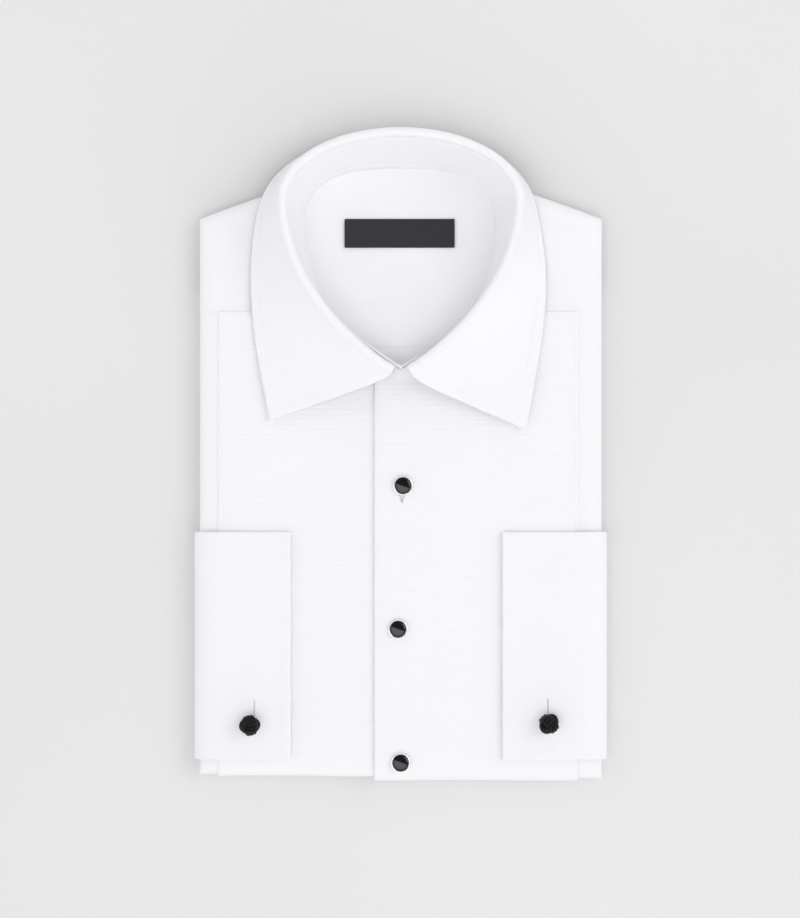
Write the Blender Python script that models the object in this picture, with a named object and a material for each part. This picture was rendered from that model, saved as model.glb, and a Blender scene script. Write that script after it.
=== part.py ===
"""A long sleeve dress shirt, folded flat with its front up.

It has a pleated bib, a standing turn-down collar, double cuffs brought round both
sides onto the front, three studs and two silk knot links. Left and right are the
wearer's. X runs across the shirt towards the wearer's left, Y from the bottom fold
to the collar and Z up from the surface that the shirt lies on.
"""

import math
from collections import namedtuple

import bmesh
import bpy

# Every size is in millimetres. new_object turns them into metres.
MM = 0.001
GAP = 0.3

# Folded stack
BODY_HALF = 117.0
ROLL_WIDTH = 11.0
FLAT_HALF = BODY_HALF - ROLL_WIDTH
ROLL_ANGLES = (24.0, 48.0, 70.0, 90.0)
FOLD_ANGLES = (30.0, 60.0, 90.0, 120.0, 150.0)
STACK_TOP = 14.7
PLY = 1.2
LEFT_PLY = 1.0
BIB_PLY = 1.0
BOTTOM_FOLD_Y = -184.9
BOTTOM_FOLD_DEPTH = 9.0
SHOULDER_DEPTH = 6.0
SHOULDER_CENTRE_Y = 172.0
SHOULDER_DROP = 33.7
SHOULDER_POWER = 1.32
YOKE_SEAM_Y = 84.0
YOKE_UNDER = 4.3
BACK_YOKE_SEAM_Y = 116.0
HEM_Y = 95.0
BACK_LOW_Y = 60.0

# Where the left front laps over the right one
LAP_HALF = 15.0
LAP_RISE = BIB_PLY + GAP + BIB_PLY + GAP
LAP_EASE_START, LAP_EASE_END = 20.0, 58.0
BIB_RIGHT_X, BIB_LEFT_X = -105.9, 102.9
BIB_FOLD_ANGLES = (30.0, 60.0, 90.0, 115.0)

# Hidden layers of the stack
CORE_SIDE = 115.5
CORE_LAYER = 1.0
CORE_GROOVE = 0.35
CORE_GROOVE_DEPTH = 0.9
CORE_LAYERS_FROM = 4.3
CORE_LAYERS = 3
CORE_STEP_Y = 45.0
CORE_END_GAP = 7.0
CORE_FULL_Y = 200.0
CORE_CHAMFER = 12.0
CORE_SHOULDER = 10.5
CORE_OUTLINE_STEPS = 12
POCKET_Z = 9.0

# Collar: loops seen from above, each half an oval towards the back and a pointed one towards the front
Loop = namedtuple("Loop", "half_width centre_y back_reach back_power front_reach front_power")
NECK = Loop(57.0, 140.0, 29.0, 0.7, 102.0, 1.4)
ROLL = Loop(68.0, 147.5, 38.0, 1.0, 100.0, 1.74)
STAND_WALL = 1.6
LEAF_WALL = 1.6
ROLL_RADIUS = 2.0
STAND_OVERLAP = 21.0
LEAF_START = 167.0
FOOT_Z = POCKET_Z + GAP + PLY + GAP
FOOT_TOP_Z = 15.4
STAND_BELOW_ROLL = 3.9
STAND_END_DROP = 0.55
LEAF_TAIL = 3.0

# A row for each place round the collar, given by its angle from the back centre: how high the
# roll stands, how far the leaf leads out from it, and where the leaf's free edge lies.
Leaf = namedtuple("Leaf", "angle roll_z lead edge_x edge_y edge_z")
LEAF_LEFT = (
    Leaf(0, 50.0, 0.6, 0.0, 188.0, 6.5),
    Leaf(35, 50.0, 0.8, 41.5, 181.5, 7.5),
    Leaf(60, 49.5, 1.2, 65.0, 168.0, 9.5),
    Leaf(75, 49.0, 2.0, 75.0, 153.5, 16.2),
    Leaf(90, 48.0, 3.0, 80.2, 134.0, 16.6),
    Leaf(105, 46.0, 4.0, 83.6, 107.0, 17.0),
    Leaf(125, 42.5, 5.0, 82.2, 76.0, 17.8),
    Leaf(148, 37.5, 7.5, 77.3, 45.0, 18.6),
    Leaf(167, 34.0, 9.0, 72.2, 16.0, 19.0),
)
LEAF_RIGHT = (
    Leaf(0, 50.0, 0.6, 0.0, 188.0, 6.5),
    Leaf(35, 50.0, 0.8, -42.0, 181.5, 7.5),
    Leaf(60, 49.5, 1.2, -67.0, 168.0, 9.5),
    Leaf(75, 49.0, 2.0, -77.5, 155.0, 16.0),
    Leaf(90, 48.0, 3.0, -83.8, 136.0, 16.6),
    Leaf(105, 46.0, 4.0, -86.3, 110.0, 17.0),
    Leaf(125, 42.5, 5.0, -85.0, 76.0, 17.6),
    Leaf(148, 37.5, 6.0, -80.2, 46.0, 18.2),
    Leaf(167, 34.0, 6.0, -75.6, 21.5, 18.6),
)

# Inside the neck
INNER_SEAM_Y = 64.8
INSIDE_INSET = 2.4
LINING_CLEAR, BACK_CLEAR = 4.0, 2.0
SEAM_REACH, SEAM_INSET = 12.0, 1.5
LABEL_SIZE = (63.5, 15.7, 0.8)
LABEL_CENTRE = (-0.7, 129.8)
LABEL_TILT = -0.6

# Cuffs and sleeves
CUFF_FOLD_X = 59.0
CUFF_TOP_Y = -43.6
CUFF_OPEN_Y = -175.4
CUFF_WALL = 1.3
CUFF_REST_Z = STACK_TOP + GAP + BIB_PLY + GAP
CUFF_TURN_X = 105.2
CUFF_TURN_WIDTH = 12.2
CUFF_END_Z = 9.2
CUFF_STATIONS_X = (CUFF_FOLD_X, 68.0, 78.0, 86.0, 95.0, CUFF_TURN_X)
CUFF_STATIONS_Y = (CUFF_OPEN_Y, -168.0, -161.0, -154.5, -148.0, -140.0, -120.0, -80.0)
WRIST_MARGIN = 3.0
SLEEVE_WALL = 2.2
WRIST_Z = 6.2
WRIST_BEND = 2.2
WRIST_INNER_X = 99.0
SLEEVE_INNER_X, SLEEVE_OUTER_X = 50.0, 108.0
SLEEVE_LOW_Y = 50.0
SLEEVE_Z = 1.7
SLEEVE_TOP_GAP = 9.0

# Links and studs
Link = namedtuple("Link", "name x y slit_x")
LINKS = (Link("right", -87.2, -155.2, -84.9), Link("left", 85.5, -154.3, 85.2))
LINK_RISE = 2.9
LINK_SPREAD = 11.0
KNOT_RADIUS, KNOT_HALF_HEIGHT = 6.2, 5.2
TOGGLE_RADIUS, TOGGLE_HEIGHT, TOGGLE_ROUND = 5.0, 2.1, 0.9
KNOT_CLEAR = 0.2
SLIT_ABOVE_LINK = 5.5
SLIT_LENGTH, SLIT_WIDTH = 17.0, 2.0
CORD_RADIUS = 0.7
Stud = namedtuple("Stud", "x y slot_below")
STUDS = (Stud(1.3, -16.8, 10.7), Stud(-1.6, -100.0, 6.5), Stud(-0.1, -177.5, 4.0))
STUD_RADIUS = 5.35
STUD_BACK_RADIUS = 2.7
STUD_SLOT_WIDTH = 2.8
STUD_POST_RADIUS = 1.1
STUD_PLATE = 1.0
STUD_RIM = 0.6
STUD_FLOOR = 0.8
INLAY_GAP = 0.15
STUD_BASE_Z = STACK_TOP + LAP_RISE + GAP + BIB_PLY + GAP

Finish = namedtuple("Finish", "name colour roughness metallic")
WHITE_COTTON = Finish("white_cotton", (0.93, 0.92, 0.95), 0.85, 0.0)
BLACK_LABEL = Finish("black_label", (0.05, 0.048, 0.055), 0.8, 0.0)
SILVER = Finish("silver", (0.75, 0.75, 0.76), 0.25, 1.0)
BLACK_GLOSS = Finish("black_gloss", (0.008, 0.008, 0.01), 0.08, 0.0)
BLACK_CORD = Finish("black_cord", (0.01, 0.01, 0.013), 0.6, 0.0)

Ply = namedtuple("Ply", "top under roll_top roll_under end seam_y hem_y fold_y fold_depth")
Column = namedtuple("Column", "x side angle")
Row = namedtuple("Row", "where value")


def clear_scene():
    """Removes everything that the scene starts with."""
    for thing in list(bpy.data.objects):
        bpy.data.objects.remove(thing, do_unlink=True)


def material_of(finish):
    """The finish as a material, made once."""
    found = bpy.data.materials.get(finish.name)
    if found:
        return found
    made = bpy.data.materials.new(finish.name)
    made.use_nodes = True
    shader = made.node_tree.nodes["Principled BSDF"]
    shader.inputs["Base Color"].default_value = (*finish.colour, 1.0)
    shader.inputs["Roughness"].default_value = finish.roughness
    shader.inputs["Metallic"].default_value = finish.metallic
    return made


def new_object(name, points, faces, finish, helper=False):
    """A mesh object from points in millimetres, with its faces turned outwards."""
    mesh = bpy.data.meshes.new(name)
    mesh.from_pydata([[value * MM for value in point] for point in points], [], faces)
    shape = bmesh.new()
    shape.from_mesh(mesh)
    bmesh.ops.recalc_face_normals(shape, faces=shape.faces)
    shape.to_mesh(mesh)
    shape.free()
    made = bpy.data.objects.new(name, mesh)
    bpy.context.scene.collection.objects.link(made)
    mesh.materials.append(material_of(finish))
    mesh.shade_smooth()
    mesh.set_sharp_from_angle(angle=math.radians(35))
    if helper:
        made.hide_render = True
        made.display_type = "WIRE"
    return made


def cut(target, cutter):
    """Takes the cutter's shape out of the target."""
    modifier = target.modifiers.new("cut_" + cutter.name, "BOOLEAN")
    modifier.operation = "DIFFERENCE"
    modifier.solver = "EXACT"
    modifier.object = cutter


def mix(first, second, share):
    """The value a share of the way from the first to the second."""
    return first + (second - first) * share


def easing(value, start, end):
    """0 at the start, 1 at the end and smooth between them."""
    share = min(max((value - start) / (end - start), 0.0), 1.0)
    return share * share * (3.0 - 2.0 * share)


def steps(first, last, count):
    """Evenly spaced values, both ends among them."""
    return [mix(first, last, index / count) for index in range(count + 1)]


def plus(point, direction, amount):
    """The point moved along a direction."""
    return tuple(a + b * amount for a, b in zip(point, direction))


def unit(vector):
    """The vector at a length of one."""
    length = math.sqrt(sum(value * value for value in vector)) or 1.0
    return tuple(value / length for value in vector)


def face_normals(grid):
    """The direction square to a grid of points, at each point."""
    last_i, last_j = len(grid) - 1, len(grid[0]) - 1
    normals = []
    for i in range(last_i + 1):
        row = []
        for j in range(last_j + 1):
            before, after = grid[max(i - 1, 0)][j], grid[min(i + 1, last_i)][j]
            left, right = grid[i][max(j - 1, 0)], grid[i][min(j + 1, last_j)]
            a = [q - p for p, q in zip(before, after)]
            b = [q - p for p, q in zip(left, right)]
            square = [a[k - 2] * b[k - 1] - a[k - 1] * b[k - 2] for k in range(3)]
            row.append(unit(square))
        normals.append(row)
    return normals


def moved_out(grid, distance):
    """The grid's points moved square to it."""
    normals = face_normals(grid)
    return [[plus(p, n, distance) for p, n in zip(ps, ns)] for ps, ns in zip(grid, normals)]


def wall(name, first, second, finish=WHITE_COTTON):
    """A closed wall between two grids of the same size."""
    rows, across = len(first), len(first[0])
    points = [point for grid in (first, second) for row in grid for point in row]

    def at(layer, i, j):
        return layer * rows * across + i * across + j

    faces = []
    for layer in (0, 1):
        for i in range(rows - 1):
            for j in range(across - 1):
                corners = ((i, j), (i + 1, j), (i + 1, j + 1), (i, j + 1))
                faces.append([at(layer, *corner) for corner in corners])
    border = [(i, 0) for i in range(rows)] + [(rows - 1, j) for j in range(1, across)]
    border += [(i, across - 1) for i in range(rows - 2, -1, -1)]
    border += [(0, j) for j in range(across - 2, 0, -1)]
    for here, there in zip(border, border[1:] + border[:1]):
        faces.append([at(0, *here), at(0, *there), at(1, *there), at(1, *here)])
    return new_object(name, points, faces, finish)


def prism(name, outline, low, high, finish=WHITE_COTTON, helper=False):
    """An upright solid on an outline of (x, y) points."""
    count = len(outline)
    points = [(x, y, z) for z in (low, high) for x, y in outline]
    faces = [list(range(count)), list(range(count, 2 * count))]
    faces += [[i, (i + 1) % count, count + (i + 1) % count, count + i] for i in range(count)]
    return new_object(name, points, faces, finish, helper)


def box_outline(x_low, x_high, y_low, y_high):
    """The corners of a rectangle."""
    return [(x_low, y_low), (x_high, y_low), (x_high, y_high), (x_low, y_high)]


def turned(name, centre, profile, sides, finish, helper=False):
    """A solid of revolution about an upright axis, from (radius, z) points whose two ends lie on the axis."""
    x, y = centre
    points = [(x, y, profile[0][1])]
    for radius, z in profile[1:-1]:
        for k in range(sides):
            angle = 2 * math.pi * k / sides
            points.append((x + radius * math.cos(angle), y + radius * math.sin(angle), z))
    points.append((x, y, profile[-1][1]))
    rings, last = len(profile) - 2, len(points) - 1
    faces = []
    for k in range(sides):
        after = (k + 1) % sides
        faces.append([0, 1 + after, 1 + k])
        faces.append([last, last - sides + k, last - sides + after])
        for ring in range(rings - 1):
            start = 1 + ring * sides
            faces.append([start + k, start + after, start + sides + after, start + sides + k])
    return new_object(name, points, faces, finish, helper)


# ---- The folded plies ----


def shoulder_edge(x):
    """How far up the stack reaches, lower towards the sleeves."""
    return SHOULDER_CENTRE_Y - SHOULDER_DROP * (abs(x) / BODY_HALF) ** SHOULDER_POWER


def columns(x_from, x_to, count):
    """Stations across a ply, with those round the folded side where it reaches one."""
    flat = [Column(x, 0, 0.0) for x in steps(x_from, x_to, count)]
    right = [Column(-FLAT_HALF, -1, angle) for angle in reversed(ROLL_ANGLES)]
    left = [Column(FLAT_HALF, 1, angle) for angle in ROLL_ANGLES]
    return (right if x_from <= -FLAT_HALF else []) + flat + (left if x_to >= FLAT_HALF else [])


def rows(over, fold_angles, under):
    """Stations along a ply: on top, round its end fold and underneath."""
    return (
        [Row("over", share) for share in steps(0.0, 1.0, over)]
        + [Row("fold", angle) for angle in fold_angles]
        + ([Row("under", share) for share in steps(0.0, 1.0, under)] if under else [])
    )


def spot(ply, column, row, offset):
    """A point of a ply's outer face, moved out by the offset."""
    turn = math.radians(column.angle)
    down = 1.0 - math.cos(turn)
    x = column.x + column.side * (ROLL_WIDTH + offset) * math.sin(turn)
    full_half = (ply.top(column.x) - ply.under(column.x)) / 2 + offset
    top = ply.top(column.x) + offset - (ply.roll_top + offset) * down
    under = ply.under(column.x) - offset + (ply.roll_under + offset) * down
    middle, half = (top + under) / 2, (top - under) / 2
    depth = (ply.fold_depth + offset) * half / full_half
    centre = ply.fold_y(x) + ply.end * (offset - depth)
    if row.where == "over":
        return (x, mix(ply.seam_y, centre, row.value), top)
    if row.where == "under":
        return (x, mix(centre, ply.hem_y, row.value), under)
    angle = math.radians(row.value)
    return (x, centre + ply.end * depth * math.sin(angle), middle + half * math.cos(angle))


def ply_wall(name, ply, across, along, offset, thickness):
    """A wall on a ply: its outer face is the ply's face moved out by the offset."""
    outer = [[spot(ply, column, row, offset) for row in along] for column in across]
    inner = [[spot(ply, column, row, offset - thickness) for row in along] for column in across]
    return wall(name, outer, inner)


def right_top(x):
    """Height of the right front's face."""
    return STACK_TOP


def right_under(x):
    """Height of the right front's face underneath, raised where it lies over the left one."""
    return LAP_RISE * easing(x, -LAP_EASE_END, -LAP_EASE_START)


def left_top(x):
    """Height of the left front's face, raised where it laps over the right one."""
    return STACK_TOP + LAP_RISE * (1.0 - easing(x, LAP_EASE_START, LAP_EASE_END))


def left_under(x):
    """The left front lies on the surface underneath."""
    return 0.0


def yoke_top(x):
    """Height of the yoke's face."""
    return STACK_TOP


def yoke_under(x):
    """Height of the yoke's face underneath, above the sleeves."""
    return YOKE_UNDER


def right_fold(x):
    """Where the right front turns under."""
    return BOTTOM_FOLD_Y


def left_fold(x):
    """Where the left front turns under, outside the right one."""
    return BOTTOM_FOLD_Y - LAP_RISE


RIGHT_FRONT = Ply(right_top, right_under, 5.5, 4.0, -1, YOKE_SEAM_Y, HEM_Y, right_fold, BOTTOM_FOLD_DEPTH)
LEFT_FRONT = Ply(
    left_top, left_under, 5.5, 4.0, -1, YOKE_SEAM_Y, HEM_Y, left_fold, BOTTOM_FOLD_DEPTH + LAP_RISE
)
YOKE = Ply(
    yoke_top, yoke_under, 5.5, 1.7, 1, YOKE_SEAM_Y + GAP, BACK_YOKE_SEAM_Y, shoulder_edge, SHOULDER_DEPTH
)


def make_fronts():
    """Both fronts, each in one piece from the yoke round the bottom fold to the hem underneath."""
    along = rows(6, FOLD_ANGLES, 4)
    right = ply_wall("front_right", RIGHT_FRONT, columns(-FLAT_HALF, LAP_HALF, 7), along, 0.0, PLY)
    left = ply_wall("front_left", LEFT_FRONT, columns(-LAP_HALF, FLAT_HALF, 9), along, 0.0, LEFT_PLY)
    return right, left


def make_bibs():
    """The pleated bibs on the fronts, turned just under at the bottom fold."""
    along = rows(7, BIB_FOLD_ANGLES, 0)
    lift = GAP + BIB_PLY
    right = ply_wall("bib_right", RIGHT_FRONT, columns(BIB_RIGHT_X, LAP_HALF, 6), along, lift, BIB_PLY)
    left = ply_wall("bib_left", LEFT_FRONT, columns(-LAP_HALF, BIB_LEFT_X, 8), along, lift, BIB_PLY)
    return right, left


def make_yoke():
    """The yoke, over the shoulders from the front seams to the back seam."""
    return ply_wall("yoke", YOKE, columns(-FLAT_HALF, FLAT_HALF, 12), rows(3, FOLD_ANGLES, 2), 0.0, PLY)


def make_back():
    """The back as it shows underneath, from the yoke seam until the turned-up hem hides it."""
    across = columns(-FLAT_HALF, FLAT_HALF, 6)
    seam = BACK_YOKE_SEAM_Y - GAP
    outer, inner = [], []
    for column in across:
        for grid, offset in ((outer, 0.0), (inner, -PLY)):
            x, _, z = spot(YOKE, column, Row("under", 1.0), offset)
            grid.append([(x, y, z) for y in steps(seam, BACK_LOW_Y, 2)])
    return wall("back", outer, inner)


def core_outline(inset, y_high):
    """The hidden layers seen from above: square at the bottom fold, sloping at the shoulders."""
    half = CORE_SIDE - inset
    low = BOTTOM_FOLD_Y + CORE_END_GAP + inset * 0.5
    across = steps(-half, half, CORE_OUTLINE_STEPS)
    top = [(x, min(y_high, shoulder_edge(x) - PLY - 3.0 - inset * 0.5)) for x in reversed(across)]
    return [(x, low) for x in across] + top


def make_core():
    """The layers that nothing shows, as one rounded solid with its layers' edges along the sides."""
    full, step = CORE_FULL_Y, CORE_STEP_Y
    ledge = YOKE_UNDER + PLY + GAP
    levels = [(PLY + GAP, CORE_CHAMFER, step), (CORE_LAYERS_FROM - 1.0, 3.0, step)]
    levels += [(CORE_LAYERS_FROM, 0.0, step), (ledge - CORE_GROOVE, 0.0, step)]
    levels += [(ledge, CORE_GROOVE_DEPTH, step), (ledge + 0.05, CORE_CHAMFER, full)]
    z = ledge + 2 * CORE_GROOVE
    for _ in range(CORE_LAYERS):
        levels += [(z, 0.0, full), (z + CORE_LAYER - CORE_GROOVE, 0.0, full)]
        levels += [(z + CORE_LAYER - CORE_GROOVE / 2, CORE_GROOVE_DEPTH, full)]
        z += CORE_LAYER
    base = levels[-1][0]
    reach = STACK_TOP - PLY - GAP - base
    for angle in (30.0, 60.0, 90.0):
        turn = math.radians(angle)
        inset = CORE_GROOVE_DEPTH + CORE_SHOULDER * (1 - math.cos(turn))
        levels.append((base + reach * math.sin(turn), inset, full))
    points, faces = [], []
    for height, inset, y_high in levels:
        points += [(x, y, height) for x, y in core_outline(inset, y_high)]
    count = len(core_outline(0.0, full))
    for level in range(len(levels) - 1):
        for k in range(count):
            here, after = level * count + k, level * count + (k + 1) % count
            faces.append([here, after, after + count, here + count])
    faces.append(list(range(count)))
    faces.append([(len(levels) - 1) * count + k for k in range(count)])
    return new_object("hidden_layers", points, faces, WHITE_COTTON)


# ---- The collar ----


def loop_point(loop, angle, offset=0.0):
    """A point of a collar loop seen from above, at an angle from the back centre."""
    turn = math.radians(angle)
    back = math.cos(turn) >= 0
    reach = loop.back_reach if back else loop.front_reach
    power = loop.back_power if back else loop.front_power
    sideways = math.copysign(abs(math.sin(turn)) ** power, math.sin(turn))
    point = (loop.half_width * sideways, loop.centre_y + reach * math.cos(turn))
    if not offset:
        return point
    out = loop_out(loop, angle)
    return (point[0] + out[0] * offset, point[1] + out[1] * offset)


def loop_out(loop, angle):
    """The direction out of a collar loop."""
    before, after = loop_point(loop, angle - 3.0), loop_point(loop, angle + 3.0)
    return unit((before[1] - after[1], after[0] - before[0]))


def leaf_row(angle):
    """The collar's measures at an angle, on a smooth curve through its table's rows."""
    table = LEAF_LEFT if angle >= 0 else LEAF_RIGHT
    place = min(max(abs(angle), table[0].angle), table[-1].angle)
    index = max(k for k in range(len(table) - 1) if table[k].angle <= place)
    start, end = table[index], table[index + 1]
    share = (place - start.angle) / (end.angle - start.angle)
    before = table[index - 1] if index else start
    after = table[index + 2] if index + 2 < len(table) else end
    values = []
    for p0, p1, p2, p3 in zip(before, start, end, after):
        rise = (p2 - p0) / 2, (p3 - p1) / 2
        values.append(
            p1
            + share * rise[0]
            + share**2 * (3 * (p2 - p1) - 2 * rise[0] - rise[1])
            + share**3 * (2 * (p1 - p2) + rise[0] + rise[1])
        )
    return Leaf(*values)


def stand_inset(angle):
    """How far the under end of the stand lies inside the over end."""
    return (STAND_WALL + GAP) * (1.0 - easing(angle, -158.0, -132.0))


def stand_line(angle):
    """The middle of the stand's wall from its foot to its top, at one place round the neck."""
    inset = STAND_WALL / 2 + stand_inset(angle)
    foot = loop_point(NECK, angle, -inset)
    top = loop_point(ROLL, angle, -ROLL_RADIUS - stand_inset(angle))
    beyond = min(max(abs(angle) - 180.0, 0.0) / STAND_OVERLAP, 1.0)
    top_z = leaf_row(angle).roll_z - ROLL_RADIUS - STAND_BELOW_ROLL
    height = (top_z - FOOT_TOP_Z) * (1.0 - STAND_END_DROP * beyond**3)
    line = [(*foot, FOOT_Z), (*foot, FOOT_TOP_Z)]
    for share in (0.45, 1.0):
        line.append((mix(foot[0], top[0], share), mix(foot[1], top[1], share), FOOT_TOP_Z + height * share))
    return line


def leaf_line(angle):
    """The middle of the fall's wall from the stand's top, over the roll and down to its free edge."""
    row = leaf_row(angle)
    crest = loop_point(ROLL, angle)
    out = loop_out(ROLL, angle)
    hub = row.roll_z - ROLL_RADIUS
    line = []
    for turn in (180.0, 135.0, 90.0, 45.0, 0.0):
        away, up = math.cos(math.radians(turn)), math.sin(math.radians(turn))
        reach = ROLL_RADIUS * away
        line.append((crest[0] + out[0] * reach, crest[1] + out[1] * reach, hub + ROLL_RADIUS * up))
    start, edge = line[-1], (row.edge_x, row.edge_y, row.edge_z)
    line.insert(0, (*line[0][:2], hub - LEAF_TAIL))
    drop = start[2] - edge[2]
    lead = (start[0] + out[0] * row.lead, start[1] + out[1] * row.lead, start[2] - 0.35 * drop)
    rest = (mix(edge[0], start[0], 0.42), mix(edge[1], start[1], 0.42), edge[2] + 0.16 * drop)
    for share in (0.2, 0.4, 0.6, 0.8, 1.0):
        left = 1.0 - share
        weights = (left**3, 3 * left**2 * share, 3 * left * share**2, share**3)
        controls = zip(*(start, lead, rest, edge))
        line.append(tuple(sum(w * value for w, value in zip(weights, axis)) for axis in controls))
    return line


def make_collar():
    """The stand, with its left end over its right one, and the fall that rolls over it."""
    ends = 180.0 + STAND_OVERLAP
    stand = [stand_line(angle) for angle in steps(-ends, ends, 38)]
    half = STAND_WALL / 2
    wall("collar_stand", moved_out(stand, half), moved_out(stand, -half))
    leaf = [leaf_line(angle) for angle in steps(-LEAF_START, LEAF_START, 26)]
    half = LEAF_WALL / 2
    wall("collar_fall", moved_out(leaf, half), moved_out(leaf, -half))


def neck_outline(offset):
    """The neck opening seen from above, moved out by the offset."""
    return [loop_point(NECK, angle, offset) for angle in steps(-180.0, 180.0, 40)[:-1]]


def make_inside():
    """What shows down the neck: the yoke lining, the back below it and the label."""
    outline = neck_outline(-INSIDE_INSET)
    low = POCKET_Z + GAP
    lining = [(x, y) for x, y in outline if y > INNER_SEAM_Y + LINING_CLEAR]
    back = [(x, y) for x, y in outline if y < INNER_SEAM_Y - BACK_CLEAR]
    right = max(x for x, y in outline if abs(y - INNER_SEAM_Y) < SEAM_REACH) - SEAM_INSET
    ends = [(right, INNER_SEAM_Y + GAP / 2), (-right, INNER_SEAM_Y + GAP / 2)]
    prism("yoke_lining", lining + ends, low, low + PLY)
    split = max(k for k, (x, y) in enumerate(back) if x < 0) + 1
    ends = [(-right + 1, INNER_SEAM_Y - GAP / 2), (right - 1, INNER_SEAM_Y - GAP / 2)]
    prism("back_inside", ends + back[split:] + back[:split], low, low + PLY)
    width, height, thick = LABEL_SIZE
    tilt = math.radians(LABEL_TILT)
    corners = []
    for x, y in box_outline(-width / 2, width / 2, -height / 2, height / 2):
        across = LABEL_CENTRE[0] + x * math.cos(tilt) - y * math.sin(tilt)
        corners.append((across, LABEL_CENTRE[1] + x * math.sin(tilt) + y * math.cos(tilt)))
    base = low + PLY + GAP
    prism("label", corners, base, base + thick, BLACK_LABEL)


# ---- Sleeves, cuffs and links ----


def link_bump(link, x, y):
    """How far the cuff is pushed up over its link's inner knot."""
    away = ((x - link.x) ** 2 + (y - link.y) ** 2) / (2 * LINK_SPREAD**2)
    return LINK_RISE * math.exp(-away)


def cuff_path():
    """The cuff's inner face across the shirt, as (x, z, out x, out z): flat, then down round the side."""
    path = [(x, CUFF_REST_Z, 0.0, 1.0) for x in CUFF_STATIONS_X]
    drop = CUFF_REST_Z - CUFF_END_Z
    for angle in (22.5, 45.0, 67.5, 90.0):
        turn = math.radians(angle)
        out = unit((math.sin(turn) * drop, math.cos(turn) * CUFF_TURN_WIDTH))
        x, z = CUFF_TURN_X + CUFF_TURN_WIDTH * math.sin(turn), CUFF_END_Z + drop * math.cos(turn)
        path.append((x, z, *out))
    return path


def cuff_section():
    """The cuff across its plies, as (y, distance out): in along one and back along the other."""
    near, far = CUFF_WALL / 2, CUFF_WALL * 1.5 + GAP
    bend, middle = (far - near) / 2, (far + near) / 2
    centre = CUFF_TOP_Y - CUFF_WALL / 2 - bend
    round_end = [
        (centre + bend * math.cos(math.radians(a)), middle + bend * math.sin(math.radians(a)))
        for a in (-90.0, 0.0, 90.0)
    ]
    back = [(y, far) for y in reversed(CUFF_STATIONS_Y)]
    return [(y, near) for y in CUFF_STATIONS_Y] + round_end + back


def make_cuff(link):
    """A double cuff, folded flat round the side onto the front, with its slits."""
    side = math.copysign(1.0, link.x)
    grid = []
    for x, z, out_x, out_z in cuff_path():
        column = []
        for y, away in cuff_section():
            away += link_bump(link, side * x, y) if out_z == 1.0 else 0.0
            column.append((side * (x + out_x * away), y, z + out_z * away))
        grid.append(column)
    half = CUFF_WALL / 2
    cuff = wall("cuff_" + link.name, moved_out(grid, half), moved_out(grid, -half))
    x, y = link.slit_x, link.y + SLIT_ABOVE_LINK
    outline = box_outline(x - SLIT_WIDTH / 2, x + SLIT_WIDTH / 2, y - SLIT_LENGTH / 2, y + SLIT_LENGTH / 2)
    cut(cuff, prism("slit_" + link.name, outline, CUFF_REST_Z - 1.0, CUFF_REST_Z + 12.0, helper=True))


def make_wrist(link):
    """The sleeve's end pressed flat, out of the stack and up to the cuff."""
    side = math.copysign(1.0, link.x)
    bend_x = CUFF_TURN_X + CUFF_TURN_WIDTH + CUFF_WALL + GAP / 2 - WRIST_BEND
    bend_z = WRIST_Z + WRIST_BEND
    path = [(x, WRIST_Z) for x in steps(WRIST_INNER_X, bend_x, 2)]
    for angle in (30.0, 60.0, 90.0):
        turn = math.radians(angle)
        path.append((bend_x + WRIST_BEND * math.sin(turn), bend_z - WRIST_BEND * math.cos(turn)))
    path.append((path[-1][0], CUFF_END_Z - GAP))
    ys = steps(CUFF_OPEN_Y + WRIST_MARGIN, CUFF_TOP_Y - WRIST_MARGIN, 3)
    grid = [[(side * x, y, z) for y in ys] for x, z in path]
    half = SLEEVE_WALL / 2
    wall(f"sleeve_{link.name}_wrist", moved_out(grid, half), moved_out(grid, -half))


def make_sleeve(link):
    """The sleeve's head pressed flat, down from the shoulder under the back."""
    side = math.copysign(1.0, link.x)
    low, high = [], []
    for x in steps(SLEEVE_INNER_X, SLEEVE_OUTER_X, 4):
        ys = [mix(SLEEVE_LOW_Y, shoulder_edge(x) - SLEEVE_TOP_GAP, share) for share in steps(0.0, 1.0, 4)]
        low.append([(side * x, y, SLEEVE_Z) for y in ys])
        high.append([(side * x, y, SLEEVE_Z + SLEEVE_WALL) for y in ys])
    wall(f"sleeve_{link.name}_head", low, high)


def make_link(link):
    """A silk knot on the cuff, and its cord with the flatter knot inside."""
    rest = CUFF_REST_Z + link_bump(link, link.x, link.y) + 2 * CUFF_WALL + GAP
    centre_z = rest + GAP + KNOT_CLEAR + KNOT_HALF_HEIGHT
    ball = [(0.0, centre_z - KNOT_HALF_HEIGHT)]
    for angle in range(-65, 66, 26):
        turn = math.radians(angle)
        ball.append((KNOT_RADIUS * math.cos(turn), centre_z + KNOT_HALF_HEIGHT * math.sin(turn)))
    ball.append((0.0, centre_z + KNOT_HALF_HEIGHT))
    turned(f"link_{link.name}_knot", (link.x, link.y), ball, 16, BLACK_CORD)
    base, top = CUFF_REST_Z, CUFF_REST_Z + TOGGLE_HEIGHT
    inner = [(0.0, base), (TOGGLE_RADIUS - TOGGLE_ROUND, base), (TOGGLE_RADIUS, base + TOGGLE_HEIGHT / 2)]
    inner += [(TOGGLE_RADIUS - TOGGLE_ROUND, top), (CORD_RADIUS, top)]
    inner += [(CORD_RADIUS, rest + KNOT_CLEAR), (0.0, rest + KNOT_CLEAR)]
    turned(f"link_{link.name}_inner", (link.slit_x, link.y), inner, 12, BLACK_CORD)


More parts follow.
